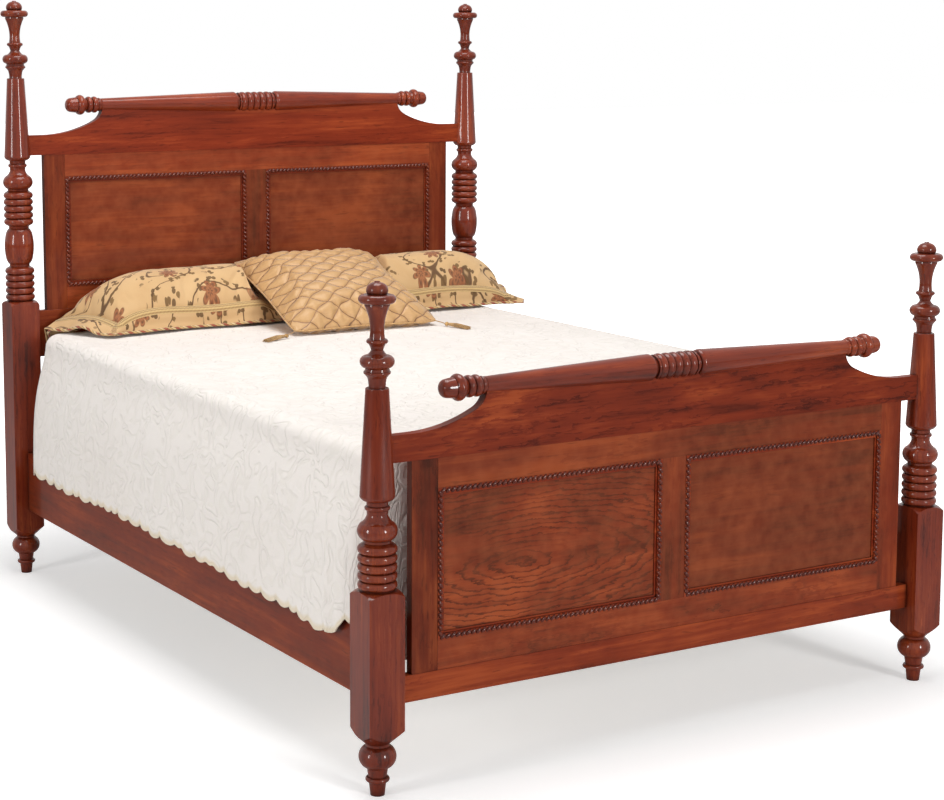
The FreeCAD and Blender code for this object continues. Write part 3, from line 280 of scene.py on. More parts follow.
def effectGroup(name, inputs, outputs):
    group = bpy.data.node_groups.new(name, "ShaderNodeTree")
    for label, kind, value in inputs:
        socket = group.interface.new_socket(name=label, in_out="INPUT", socket_type=kind)
        if value is not None:
            socket.default_value = value
    for label, kind in outputs:
        group.interface.new_socket(name=label, in_out="OUTPUT", socket_type=kind)
    given = newNode(group, "NodeGroupInput", (-900, 0))
    return group, given.outputs, newNode(group, "NodeGroupOutput", (900, 0)).inputs


def placeGroup(tree, group, vector, values):
    node = newNode(tree, "ShaderNodeGroup", (-700, 0), node_tree=group)
    tree.links.new(vector, node.inputs["Vector"])
    for label, value in values.items():
        node.inputs[label].default_value = value
    return node.outputs


def plainMaterial(name, settings):  # a Principled shader with the settings on its own sockets
    material = bpy.data.materials.new(name)
    material.use_nodes = True
    tree = material.node_tree
    shader = tree.nodes["Principled BSDF"]
    for label, value in settings.items():
        shader.inputs[label].default_value = value
    return material, tree, shader


def dress(tree, shader, colour, roughness, height, bump):  # bump is its distance and its strength
    node = newNode(tree, "ShaderNodeBump", (-300, -300))
    node.inputs["Distance"].default_value, node.inputs["Strength"].default_value = bump
    tree.links.new(height, node.inputs["Height"])
    tree.links.new(node.outputs[0], shader.inputs["Normal"])
    tree.links.new(colour, shader.inputs["Base Color"])
    tree.links.new(roughness, shader.inputs["Roughness"])


# cherry

def makeCherryFigure():  # the grain runs along the vector's X
    group, given, out = effectGroup("cherryFigure", [
        ("Vector", "NodeSocketVector", None), ("Dark", "NodeSocketColor", None),
        ("Middle", "NodeSocketColor", None), ("Light", "NodeSocketColor", None),
        ("Rings", "NodeSocketFloat", 0.0), ("Blotch", "NodeSocketFloat", 0.5)],
        [("Colour", "NodeSocketColor"), ("Roughness", "NodeSocketFloat"),
         ("Height", "NodeSocketFloat")])

    def grain(along, across, *noise):  # a noise drawn out along the board
        stretched = mapped(group, given["Vector"], (along, across, across))
        return noiseOf(group, stretched, *noise)

    streaks = grain(1.1, 15, 2.0, 5.0, 0.62, 0.35)
    fine = grain(3.0, 110, 1.0, 3.0, 0.6)
    blotch = grain(1.6, 3.4, 1.7, 2.0, 0.5, 0.9)
    smudge = grain(2.2, 8.5, 1.0, 3.0, 0.55, 0.9)
    flecks = greyRamp(group, grain(22, 210, 1.0, 1.0), 0.63, 0.74)
    rings = newNode(group, "ShaderNodeTexWave", wave_type="RINGS", rings_direction="SPHERICAL",
                    wave_profile="SAW")
    group.links.new(mapped(group, given["Vector"], (0.27, 1, 1)), rings.inputs["Vector"])
    for label, value in (("Scale", 26.0), ("Distortion", 8.0), ("Detail", 4.0),
                         ("Detail Scale", 2.2), ("Detail Roughness", 0.62)):
        rings.inputs[label].default_value = value
    ringLine = greyRamp(group, rings.outputs["Fac"], 0.58, 1.0)
    ringPlace = greyRamp(group, grain(1.5, 3.2, 1.6, 1.0), 0.36, 0.58)
    ringShare = times(group, times(group, ringLine, ringPlace), given["Rings"])
    threads = plus(group, times(group, streaks, 0.85), times(group, fine, 0.35))
    clouds = plus(group, times(group, blotch, 0.6), times(group, smudge, 0.4))
    patches = times(group, minus(group, clouds, 0.5), times(group, given["Blotch"], 1.7))
    tone = minus(group, plus(group, threads, patches), times(group, ringShare, 0.34))
    colour = mixColours(group, greyRamp(group, tone, 0.18, 0.62), given["Dark"], given["Middle"])
    colour = mixColours(group, greyRamp(group, tone, 0.55, 0.95), colour, given["Light"])
    colour = mixColours(group, times(group, flecks, 0.45), colour, given["Dark"])
    group.links.new(colour, out["Colour"])
    group.links.new(plus(group, 0.34, times(group, tone, 0.14)), out["Roughness"])
    group.links.new(minus(group, fine, times(group, flecks, 0.6)), out["Height"])
    return group


def makeEdgeHighlightAndGrooveShade():  # painted highlight on sharp edges, painted shade in grooves
    group, given, out = effectGroup("edgeHighlightAndGrooveShade", [
        ("Colour", "NodeSocketColor", None), ("EdgeHighlight", "NodeSocketColor", srgb(168, 92, 56)),
        ("Groove", "NodeSocketColor", srgb(30, 9, 6))], [("Colour", "NodeSocketColor")])
    point = newNode(group, "ShaderNodeNewGeometry").outputs["Pointiness"]
    patchy = noiseOf(group, objectPlace(group), 30.0)
    # pointiness lightens the sharp edges, broken up by noise: a painted highlight
    edgeHighlight = times(group, greyRamp(group, point, 0.56, 0.72), patchy)
    # ambient occlusion darkens the grooves: painted shade
    shut = newNode(group, "ShaderNodeAmbientOcclusion", samples=6)
    shut.inputs["Distance"].default_value = 0.022
    grooves = fallRamp(group, shut.outputs["AO"], 0.25, 0.95)
    colour = mixColours(group, times(group, edgeHighlight, 0.55), given["Colour"], given["EdgeHighlight"])
    colour = mixColours(group, times(group, grooves, 0.85), colour, given["Groove"])
    group.links.new(colour, out["Colour"])
    return group


cherryFigure = makeCherryFigure()
edgeHighlightAndGrooveShade = makeEdgeHighlightAndGrooveShade()
cherryLook = {
    "dark": srgb(60, 18, 8), "middle": srgb(118, 41, 18), "light": srgb(160, 72, 34),
    "coat": 0.14, "turnedCoat": 0.55, "coatRoughness": 0.085, "specular": 0.06,
    "bump": (0.0002, 0.35),
}
grainTurns = {"X": (0, 0, 0), "Y": (0, 0, math.radians(-90)), "Z": (0, math.radians(90), 0)}


def toned(colour, share):
    return tuple(part * share for part in colour[:3]) + (1.0,)


def cherryMaterial(name, along, seed, rings=0.0, blotch=0.5, tone=1.0, centre=None, turned=False):
    material, tree, shader = plainMaterial(name, {
        "Coat Weight": cherryLook["turnedCoat" if turned else "coat"],
        "Coat Roughness": cherryLook["coatRoughness"],
        "Specular IOR Level": cherryLook["specular"]})
    dice = random.Random(seed)
    if centre is None:
        shift = (dice.uniform(-1.2, 1.2), dice.uniform(-0.7, 0.7), dice.uniform(-0.7, 0.7))
    else:
        shift = tuple(-part for part in centre)
    vector = mapped(tree, objectPlace(tree), turn=grainTurns[along], shift=shift)
    colours = {label.title(): toned(cherryLook[label], tone)
               for label in ("dark", "middle", "light")}
    figure = placeGroup(tree, cherryFigure, vector, {**colours, "Rings": rings, "Blotch": blotch})
    # painted highlight on the edges and painted shade in the grooves
    paintedEdgeLight = newNode(tree, "ShaderNodeGroup", (-400, 0), node_tree=edgeHighlightAndGrooveShade)
    tree.links.new(figure["Colour"], paintedEdgeLight.inputs["Colour"])
    dress(tree, shader, paintedEdgeLight.outputs["Colour"], figure["Roughness"], figure["Height"],
          cherryLook["bump"])
    return material


def giveMaterial(nodeName, material):
    piece = nodes[nodeName]
    if not piece.material_slots:
        piece.data.materials.append(material)
    for materialSlot in piece.material_slots:
        materialSlot.material = material


# each board has its own cut of the wood: node, way of the grain, seed, rings, blotch, tone; tone
# scales the board's colours, and on the foot mouldings it paints light
cherryBoards = {
    "foot_post_left": ("Z", 11, 0.35, 0.6, 0.86),
    "foot_post_right": ("Z", 12, 0.35, 0.5, 0.92),
    "head_post_left": ("Z", 13, 0.35, 0.5, 0.9),
    "head_post_right": ("Z", 14, 0.35, 0.5, 0.92),
    "foot_finial_left": ("Z", 21, 0.0, 0.3, 0.72),
    "foot_finial_right": ("Z", 22, 0.0, 0.3, 0.74),
    "head_finial_left": ("Z", 23, 0.0, 0.3, 0.78),
    "head_finial_right": ("Z", 24, 0.0, 0.3, 0.78),
    "foot_crest_rail": ("X", 31, 0.5, 0.7, 1.0),
    "head_crest_rail": ("X", 32, 0.3, 0.4, 1.1),
    "foot_blanket_roll": ("X", 33, 0.2, 0.4, 1.0),
    "head_blanket_roll": ("X", 34, 0.2, 0.4, 1.0),
    "foot_frame_top_rail": ("X", 41, 0.3, 0.8, 0.8),
    "foot_frame_bottom_rail": ("X", 42, 0.6, 0.9, 0.98),
    "foot_stile_left": ("Z", 43, 0.4, 1.9, 0.62),
    "foot_stile_right": ("Z", 44, 0.3, 0.7, 0.95),
    "foot_centre_stile": ("Z", 45, 0.3, 0.9, 0.88),
    "foot_lower_rail": ("X", 46, 0.5, 0.6, 1.05),
    "head_frame_top_rail": ("X", 51, 0.3, 0.6, 0.98),
    "head_frame_bottom_rail": ("X", 52, 0.3, 0.6, 0.98),
    "head_stile_left": ("Z", 53, 0.3, 1.0, 0.62),
    "head_stile_right": ("Z", 54, 0.3, 1.0, 0.72),
    "head_centre_stile": ("Z", 55, 0.3, 0.8, 0.58),
    "head_lower_rail": ("X", 56, 0.4, 0.5, 0.84),
    "side_rail_left": ("Y", 61, 0.3, 0.5, 0.84),
    "side_rail_right": ("Y", 62, 0.3, 0.7, 0.8),
    "foot_panel_right": ("X", 72, 0.15, 0.9, 0.65),
    "head_panel_left": ("X", 73, 0.2, 0.8, 0.74),
    "head_panel_right": ("X", 74, 0.2, 0.9, 0.62),
    # painted light: tone 1.25 lightens the foot mouldings to stand for their lit inner lip
    "foot_rope_moulding_left": ("X", 81, 0.0, 0.3, 1.25),
    "foot_rope_moulding_right": ("X", 82, 0.0, 0.3, 1.25),
    "head_rope_moulding_left": ("X", 83, 0.0, 0.3, 1.0),
    "head_rope_moulding_right": ("X", 84, 0.0, 0.3, 1.0),
}
for board, (along, seed, rings, blotch, tone) in cherryBoards.items():
    turned = any(word in board for word in ("post", "finial", "roll"))
    giveMaterial(board, cherryMaterial(board + "_cherry", along, seed, rings, blotch, tone,
                                       turned=turned))
giveMaterial("foot_panel_left", cherryMaterial(  # the flat-sawn panel with its long arches
    "foot_panel_left_cherry", "X", 71, 2.1, 1.1, 0.94, centre=(-0.42, -1.086, 0.475)))
print("cherry boards done")


# slats and hardware

slatLook = {"Dark": srgb(160, 122, 78), "Middle": srgb(198, 164, 118),
            "Light": srgb(222, 194, 152), "Rings": 0.5}


def makeSlatWood(name, along, seed):
    material, tree, shader = plainMaterial(name, {"Specular IOR Level": 0.3})
    vector = mapped(tree, objectPlace(tree), turn=grainTurns[along],
                    shift=(seed, seed * 0.7, seed * 1.3))
    figure = placeGroup(tree, cherryFigure, vector, slatLook)
    dress(tree, shader, figure["Colour"], plus(tree, figure["Roughness"], 0.25), figure["Height"],
          (0.0004, 0.6))
    return material


def makeZincPlate():
    material, tree, shader = plainMaterial("zinc_plate", {"Metallic": 1.0})
    place = objectPlace(tree)
    brushed = noiseOf(tree, mapped(tree, place, (40, 40, 900)), 1.0, 3.0, 0.6)
    spangle = noiseOf(tree, place, 90.0)
    tone = plus(tree, times(tree, brushed, 0.5), times(tree, spangle, 0.5))
    colour = ramp(tree, tone, [(0.25, (0.34, 0.35, 0.36, 1)), (0.75, (0.62, 0.63, 0.64, 1))])
    dress(tree, shader, colour, plus(tree, 0.25, times(tree, spangle, 0.25)), brushed,
          (0.0001, 0.4))
    return material


for material, nodeNames in (
        (makeSlatWood("slat_wood_across", "X", 3.1), ("slats",)),
        (makeSlatWood("slat_wood_along", "Y", 5.2), ("slat_cleat_left", "slat_cleat_right")),
        (makeSlatWood("slat_wood_upright", "Z", 7.4), ("slat_legs",)),
        (makeZincPlate(), ("catch_plates", "rail_hooks", "plate_screws", "cleat_screws"))):
    for nodeName in nodeNames:
        giveMaterial(nodeName, material)
print("slats and hardware done")


# rope mouldings

rope = {"pitch": 0.0135, "long": 0.0088, "wide": 0.0047, "deep": 0.0046, "slant": 36.0,
        "inset": 0.0064, "sunk": 0.0004}
# tone 0.56 darkens the rope lumps well below the boards: painted shade
ropeCherry = cherryMaterial("rope_cherry", "X", 91, 0.0, 0.3, 0.56, turned=True)


def makeRopeLump():
    pickNothing()
    bpy.ops.mesh.primitive_uv_sphere_add(segments=10, ring_count=6, radius=1.0)
    lump = bpy.context.object
    middle = {"orient_axis": "Y", "center_override": (0, 0, 0)}
    openEdit("SELECT")
    bpy.ops.transform.rotate(value=math.radians(90), **middle)
    bpy.ops.transform.resize(value=(rope["long"], rope["deep"], rope["wide"]),
                             center_override=(0, 0, 0))
    bpy.ops.transform.rotate(value=math.radians(rope["slant"]), **middle)
    closeEdit()
    smooth(lump)
    return lump


def ropeRun(lump, start, length, upright):  # a row of lumps from start, along X or up Z
    run = copyOf(lump, "ropeRun")
    count = round(length / rope["pitch"])
    step = Vector((0, 0, length / count)) if upright else Vector((length / count, 0, 0))
    if upright:
        run.data.transform(Matrix.Rotation(math.radians(-90), 4, "Y"))
    row = run.modifiers.new("row", "ARRAY")
    row.count = count
    row.use_relative_offset = False
    row.use_constant_offset = True
    row.constant_offset_displace = step
    applyModifiers(run)
    run.location = start + step / 2
    settle(run)
    return run


ropeLump = makeRopeLump()
for end in ("foot", "head"):
    for hand in ("left", "right"):
        low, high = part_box(f"{end}_rope_moulding_{hand}")
        face, inset = low.y + rope["sunk"], rope["inset"]
        left, right, bottom, top = low.x + inset, high.x - inset, low.z + inset, high.z - inset
        runs = [ropeRun(ropeLump, Vector((x, face, z)), length, upright)
                for x, z, length, upright in (
                    (left, bottom, right - left, False), (left, top, right - left, False),
                    (left, bottom, top - bottom, True), (right, bottom, top - bottom, True))]
        name = f"{end}_rope_{hand}"
        handOver(joinAll(runs, name), name, ropeCherry)
bpy.data.objects.remove(ropeLump)
print("rope mouldings done")


# mattress and box spring

bedding = {
    "corner": 0.06, "cornerParts": 8, "rimParts": 5, "tapeRadius": 0.004, "tapeIn": 0.001,
    "blocks": {"box_spring": {"round": 0.02, "tapes": (0.004, 0.196)},
               "mattress": {"round": 0.034, "tapes": (0.034, 0.245)}},
}


def makeTicking():
    material, tree, shader = plainMaterial("ticking_cloth", {
        "Sheen Weight": 0.15, "Sheen Roughness": 0.6})
    place = objectPlace(tree)
    swirl = mathNode(tree, "PINGPONG", times(tree, noiseOf(tree, place, 5.0, 1.0), 5.0), 0.5)
    quilt = greyRamp(tree, swirl, 0.02, 0.16)
    weave = noiseOf(tree, mapped(tree, place, (700, 700, 260)), 1.0)
    tint = mixColours(tree, weave, srgb(222, 216, 204), srgb(240, 236, 228))
    # darker along the sunk quilting lines: painted shade
    tint = mixColours(tree, quilt, srgb(196, 190, 178), tint)
    dress(tree, shader, tint, plus(tree, 0.7, times(tree, weave, 0.2)),
          plus(tree, quilt, times(tree, weave, 0.08)), (0.0035, 0.8))
    return material


def bevelEdges(block, wanted, offset, segments):  # wanted tells from an edge's rise if it is cut
    bpy.ops.mesh.select_all(action="DESELECT")
    closeEdit()
    for edge in block.data.edges:
        first, second = (block.data.vertices[number].co for number in edge.vertices)
        edge.select = wanted(abs(first.z - second.z))
    openEdit()
    bpy.ops.mesh.bevel(offset=offset, segments=segments)


def stuffedBlock(low, high, rim):
    pickNothing()
    bpy.ops.mesh.primitive_cube_add(size=1.0)
    block = bpy.context.object
    block.scale = high - low
    block.location = (low + high) / 2
    settle(block)
    openEdit()
    bpy.ops.mesh.select_mode(type="EDGE")
    bevelEdges(block, lambda rise: rise > 0.05, bedding["corner"], bedding["cornerParts"])
    bevelEdges(block, lambda rise: rise < 0.001, rim, bedding["rimParts"])
    closeEdit()
    smooth(block, 50)
    return block


def tapeEdge(low, high, height):  # the sewn edge tape
    pickNothing()
    bpy.ops.mesh.primitive_plane_add(size=1.0)
    ring = bpy.context.object
    ring.scale = (high.x - low.x - bedding["tapeIn"], high.y - low.y - bedding["tapeIn"], 1)
    ring.location = ((low.x + high.x) / 2, (low.y + high.y) / 2, height)
    settle(ring)
    openEdit("SELECT")
    bpy.ops.mesh.bevel(offset=bedding["corner"], segments=bedding["cornerParts"],
                       affect="VERTICES")
    bpy.ops.mesh.select_all(action="SELECT")
    bpy.ops.mesh.delete(type="ONLY_FACE")
    closeEdit()
    pickOnly(ring)
    bpy.ops.object.convert(target="CURVE")
    ring = bpy.context.object
    ring.data.bevel_depth = bedding["tapeRadius"]
    ring.data.bevel_resolution = 2
    bpy.ops.object.convert(target="MESH")
    return bpy.context.object


ticking = makeTicking()
for nodeName, settings in bedding["blocks"].items():
    low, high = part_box(nodeName)
    block = stuffedBlock(low, high, settings["round"])
    tapes = [tapeEdge(low, high, low.z + height) for height in settings["tapes"]]
    whole = joinAll([block] + tapes, nodeName + "_stuffed")
    smooth(whole, 45)
    handOver(whole, nodeName + "_stuffed", ticking, [nodeName])
print("mattress and box spring done")


# bedspread

spread = {
    "top": 0.7522, "edgeX": 0.7674, "edgeY": 1.0214, "corner": 0.065, "bend": 0.037,
    "flareSide": 0.0462, "flareEnd": 0.007, "flareReach": 0.125, "thick": 0.003,
    "stepY": 0.0105, "stepX": 0.022, "rows": 40, "flatRows": 2, "bendRows": 6, "fan": 12,
    "lobe": 0.070, "lobeDepth": 0.017, "lobeSizes": (0.62, 0.85, 1.0, 1.1, 1.25), "lobeSeed": 5,
    "hemRound": 8.0, "endHem": 0.385, "endHemWave": 0.012,
    "foldDepth": 0.0045, "foldPitch": 0.31, "smallDepth": 0.0012, "smallPitch": 0.083,
    "bunchDepth": 0.0085, "bunchPitch": 0.058, "bunchAt": -0.90, "bunchWide": 0.085,
    "foldDrop": 0.38, "dimple": 0.0011, "dimpleSink": 0.0006, "dimpleRim": 0.1,
    "sideHem": [(-1.0, 0.374), (-0.955, 0.366), (-0.92, 0.342), (-0.884, 0.330), (-0.755, 0.329),
                (-0.646, 0.337), (-0.422, 0.338), (-0.251, 0.342), (-0.033, 0.345), (0.152, 0.348),
                (0.349, 0.350), (0.629, 0.341), (0.943, 0.342)],
}


def makeSpreadCloth():
    material, tree, shader = plainMaterial("bedspread_matelasse", {
        "Sheen Weight": 0.25, "Sheen Roughness": 0.5, "Specular IOR Level": 0.25})
    flat = clothPlace(tree)
    slow = noiseOf(tree, flat, 15.0, 1.2, 0.45, 0.8)
    swirl = mathNode(tree, "PINGPONG", times(tree, slow, 5.5), 0.5)
    scrolls = greyRamp(tree, swirl, 0.03, 0.30)
    petals = newNode(tree, "ShaderNodeTexVoronoi", feature="SMOOTH_F1")
    tree.links.new(flat, petals.inputs["Vector"])
    petals.inputs["Scale"].default_value = 34.0
    buds = fallRamp(tree, petals.outputs["Distance"], 0.15, 0.6)
    where = greyRamp(tree, noiseOf(tree, flat, 5.5, 1.0), 0.45, 0.58)
    crinkle = noiseOf(tree, flat, 120.0, 3.0, 0.6)
    weave = noiseOf(tree, mapped(tree, flat, (620, 620, 620)), 1.0, 1.0)
    relief = times(tree, scrolls, 0.6)
    for height, share in ((times(tree, buds, where), 0.55), (crinkle, 0.32), (weave, 0.05)):
        relief = plus(tree, relief, times(tree, height, share))
    patch = noiseOf(tree, flat, 2.3)
    colour = mixColours(tree, patch, srgb(236, 228, 221), srgb(242, 236, 230))
    # darker where the relief is low: painted shade in the quilted dips
    raised = plus(tree, times(tree, scrolls, 0.3), 0.7)
    colour = mixColours(tree, raised, srgb(229, 223, 212), colour)
    hem = newNode(tree, "ShaderNodeAttribute", attribute_name="hemMask").outputs["Fac"]
    colour = mixColours(tree, hem, colour, srgb(228, 214, 190))
    dress(tree, shader, colour, plus(tree, 0.72, times(tree, weave, 0.2)), relief, (0.0028, 0.9))
    return material


def lobes():  # places along the hem where one scallop ends and the next starts
    dice = random.Random(spread["lobeSeed"])
    places = [0.0]
    while places[-1] < spread["hemRound"]:
        places.append(places[-1] + spread["lobe"] * dice.choice(spread["lobeSizes"]))
    return places


def scallop(places, at):
    for start, end in zip(places, places[1:]):
        if start <= at <= end:
            share = (at - start) / (end - start)
            depth = spread["lobeDepth"] * min(1.0, (end - start) / spread["lobe"])
            return depth * math.sqrt(max(0.0, math.sin(math.pi * share)))
    return 0.0


def spreadColumns():
    # once round the flat top, anticlockwise from the head-left corner: start point, way out, how
    # much it is a side (1) or an end (0), and the side's name, or None at a corner
    innerX, innerY = spread["edgeX"] - spread["corner"], spread["edgeY"] - spread["corner"]
    countX = round(2 * innerX / spread["stepX"])
    countY = round(2 * innerY / spread["stepY"])
    sides = (("left", (-innerX, innerY), (-innerX, -innerY), (-1, 0), countY, 180),
             ("foot", (-innerX, -innerY), (innerX, -innerY), (0, -1), countX, 270),
             ("right", (innerX, -innerY), (innerX, innerY), (1, 0), countY, 0),
             ("head", (innerX, innerY), (-innerX, innerY), (0, 1), countX, 90))
    columns = []
    for name, (startX, startY), (endX, endY), way, count, turned in sides:
        beside = 1.0 if name in ("left", "right") else 0.0
        for step in range(count + 1):
            place = (mix(startX, endX, step / count), mix(startY, endY, step / count), 0)
            columns.append((Vector(place), Vector((*way, 0)), beside, name))
        for step in range(1, spread["fan"]):
            angle = math.radians(turned + 90 * step / spread["fan"])
            out = Vector((math.cos(angle), math.sin(angle), 0))
            columns.append((Vector((endX, endY, 0)), out, abs(out.x) ** 2.2, None))
    return columns, countX, countY, innerX, innerY


def foldOut(y, side, drop, hand):  # how far the folds swing out, by height below the edge
    low = min(1.0, drop / spread["foldDrop"])
    near = math.exp(-((y - spread["bunchAt"]) / spread["bunchWide"]) ** 2)  # by the foot posts

    turn = y * 2 * math.pi

    def wave(angle):
        return 0.5 + 0.5 * math.sin(angle)

    offset = 0.6 if hand > 0 else 0.0
    ripple = wave(turn / spread["foldPitch"] + offset + 1.3 * math.sin(y * 4.1))
    small = wave(turn / spread["smallPitch"] + 2.0 * math.sin(y * 9.0))
    bunch = wave(turn / spread["bunchPitch"] + 4.0 * low)
    return side * (spread["foldDepth"] * low ** 1.2 * ripple
                   + spread["smallDepth"] * low ** 2 * small
                   + spread["bunchDepth"] * near * low ** 0.9 * bunch)


def hemHeight(base, side, name):
    if name is None:  # a corner runs from the end's hem to the side's
        sideHem = spread["sideHem"][0 if base.y < 0 else -1][1]
        return mix(spread["endHem"], sideHem, side)
    if name in ("left", "right"):
        return fromTable(spread["sideHem"], base.y)
    return spread["endHem"] + spread["endHemWave"] * math.sin(base.x * 5.0)


def spreadColumn(base, way, side, hem):
    # the points of one fall from the flat top to the hem: place, and length on the unrolled cloth
    hand = 1 if base.x > 0 else -1
    straight = spread["corner"] - spread["bend"]
    arc = spread["bend"] * math.pi / 2
    bendTop = spread["top"] - spread["bend"]
    flare = mix(spread["flareEnd"], spread["flareSide"], side)
    bent = spread["flatRows"] + spread["bendRows"]
    column = []
    for row in range(1, spread["rows"] + 1):
        if row <= spread["flatRows"]:
            out, z = straight * row / spread["flatRows"], spread["top"]
            length = out
        elif row <= bent:
            angle = math.pi / 2 * (row - spread["flatRows"]) / spread["bendRows"]
            out = straight + spread["bend"] * math.sin(angle)
            z = bendTop + spread["bend"] * math.cos(angle)
            length = straight + arc * (row - spread["flatRows"]) / spread["bendRows"]
        else:
            share = (row - bent) / (spread["rows"] - bent)
            z = mix(bendTop, hem, 1 - (1 - share) ** 1.12)
            drop = bendTop - z
            out = spread["corner"] + flare * (1 - math.exp(-(drop / spread["flareReach"]) ** 1.5))
            out += foldOut(base.y, side, drop, hand)
            length = straight + arc + drop
        column.append((base + way * out + Vector((0, 0, z)), length))
    return column


def buildSpread():
    columns, countX, countY, innerX, innerY = spreadColumns()
    rows = spread["rows"]
    points, flat, hemMask, ring = [], [], [], []
    travelled, previous = 0.0, None
    scallops = lobes()
    for base, way, side, name in columns:
        hem = hemHeight(base, side, name)
        flare = mix(spread["flareEnd"], spread["flareSide"], side)
        edge = base + way * spread["corner"] + way * flare
        if previous is not None:
            travelled += (edge - previous).length
        previous = edge
        ring.append([])
        for place, length in spreadColumn(base, way, side, hem - scallop(scallops, travelled)):
            ring[-1].append(len(points))
            points.append(place)
            flat.append((base.x + way.x * length, base.y + way.y * length))
            hemMask.append(1.0 if len(ring[-1]) >= rows - 1 else 0.0)
    grid = {}  # the flat top, whose edge points start the columns
    for numberY in range(countY + 1):
        for numberX in range(countX + 1):
            x = mix(-innerX, innerX, numberX / countX)
            y = mix(-innerY, innerY, numberY / countY)
            rim = min(innerX - abs(x), innerY - abs(y))
            wave = (spread["dimple"] * math.sin(x * 9.0 + 1.2 * math.sin(y * 3.1))
                    * math.sin(y * 7.0 + x * 2.0))
            sunk = min(0.0, wave - spread["dimpleSink"]) * min(1.0, rim / spread["dimpleRim"])
            grid[numberX, numberY] = len(points)
            points.append(Vector((x, y, spread["top"] + sunk)))
            flat.append((x, y))
            hemMask.append(0.0)
    faces = [(grid[i, j], grid[i + 1, j], grid[i + 1, j + 1], grid[i, j + 1])
             for i in range(countX) for j in range(countY)]

    def start(number):  # the top's point where a column starts
        base = columns[number][0]
        return grid[round((base.x + innerX) / (2 * innerX) * countX),
                    round((base.y + innerY) / (2 * innerY) * countY)]

    for number, column in enumerate(ring):
        after = (number + 1) % len(ring)
        following = ring[after]
        first, second = start(number), start(after)
        if first == second:
            faces.append((first, column[0], following[0]))
        else:
            faces.append((first, column[0], following[0], second))
        for row in range(rows - 1):
            faces.append((column[row], column[row + 1], following[row + 1], following[row]))
    cover = meshPiece("bedspread_cover", points, faces, flat)
    layer = cover.data.attributes.new("hemMask", "FLOAT", "POINT")
    for number, value in enumerate(hemMask):
        layer.data[number].value = value
    thicken(cover, spread["thick"])
    return cover


bedspread = buildSpread()
handOver(bedspread, "bedspread_cover", makeSpreadCloth(), ["bedspread"])
print("bedspread done")


# stuffing by cloth simulation

stuffing = {"quality": 6, "mass": 0.2}


def inflate(piece, settings, held):  # held are the numbers of the seam's points
    before = [vertex.co.copy() for vertex in piece.data.vertices]
    seam = piece.vertex_groups.new(name="seam")
    seam.add(held, 1.0, "REPLACE")
    cloth = piece.modifiers.new("stuffing", "CLOTH")
    cloth.settings.quality = stuffing["quality"]
    cloth.settings.mass = stuffing["mass"]
    cloth.settings.use_pressure = True
    cloth.settings.uniform_pressure_force = settings["pressure"]
    cloth.settings.shrink_min = -settings["slack"]
    cloth.settings.bending_stiffness = settings["bending"]
    cloth.settings.vertex_group_mass = "seam"
    cloth.settings.effector_weights.gravity = 0
    cloth.point_cache.frame_start = 1
    cloth.point_cache.frame_end = settings["frames"]
    for step in range(1, settings["frames"] + 1):
        scene.frame_set(step)
    pickOnly(piece)
    bpy.ops.object.modifier_apply(modifier="stuffing")
    scene.frame_set(1)
    for vertex, start in zip(piece.data.vertices, before):
        move = vertex.co - start
        if move.length > settings["cap"]:
            vertex.co = start + move.normalized() * settings["cap"]


# the square cushion's place and shape

cushion = {
    "side": 0.508, "thick": 0.160, "base": Vector((0.116, 0.550, 0.7637)), "slope": 19.6,
    "turn": -2.5, "crown": 2.7, "crownFall": 0.62, "drawnIn": 0.016, "cornerRound": 0.055,
    "clearTo": 1.03, "clearFade": 0.06,
    "cellWide": 0.078, "cellHigh": 0.054, "cellBow": 0.09, "tuckPuff": 0.0088, "cells": 116,
    "rimPlain": 0.012, "rimFade": 0.03, "pipingStep": 0.006, "pipingRadius": 0.0024,
    "pressure": 3.0, "slack": 0.02, "bending": 0.6, "frames": 16, "cap": 0.008,
}
cushionTurn = (Matrix.Rotation(math.radians(cushion["turn"]), 4, "Z")
               @ Matrix.Rotation(math.radians(cushion["slope"]), 4, "X"))
cushionPlace = Matrix.Translation(cushion["base"]) @ cushionTurn


def cushionThickness(across, up):  # half of it, at a place on the cushion: both from -1 to 1
    wide = max(0.0, 1 - abs(across) ** cushion["crown"]) ** cushion["crownFall"]
    high = max(0.0, 1 - abs(up) ** cushion["crown"]) ** cushion["crownFall"]
    return cushion["thick"] / 2 * wide * high


def cushionPoint(across, up, upper):  # both from -1 to 1
    half = cushion["side"] / 2
    pull = cushion["drawnIn"]
    x = across * (half - pull * math.cos(up * math.pi / 2) * abs(across) ** 1.5)
    y = up * (half - pull * math.cos(across * math.pi / 2) * abs(up) ** 1.5) + half
    z = cushionThickness(across, up) * (1 if upper else -1)
    rounded = 1 - cushion["cornerRound"] * abs(across * up) ** 5  # the corners are not sharp
    return Vector((x * rounded, (y - half) * rounded + half, z))


def underCushion(point, clear=0.004):  # a point inside the cushion moves out below it
    local = cushionPlace.inverted() @ point
    half = cushion["side"] / 2
    across, up = local.x / half, (local.y - half) / half
    if abs(across) >= cushion["clearTo"] or abs(up) >= cushion["clearTo"]:
        return point
    limit = -cushionThickness(min(1, max(-1, across)), min(1, max(-1, up))) - clear
    if local.z <= limit:
        return point
    inside = cushion["clearTo"] - max(abs(across), abs(up))
    local.z = mix(local.z, limit, min(1.0, inside / cushion["clearFade"]))
    return cushionPlace @ local


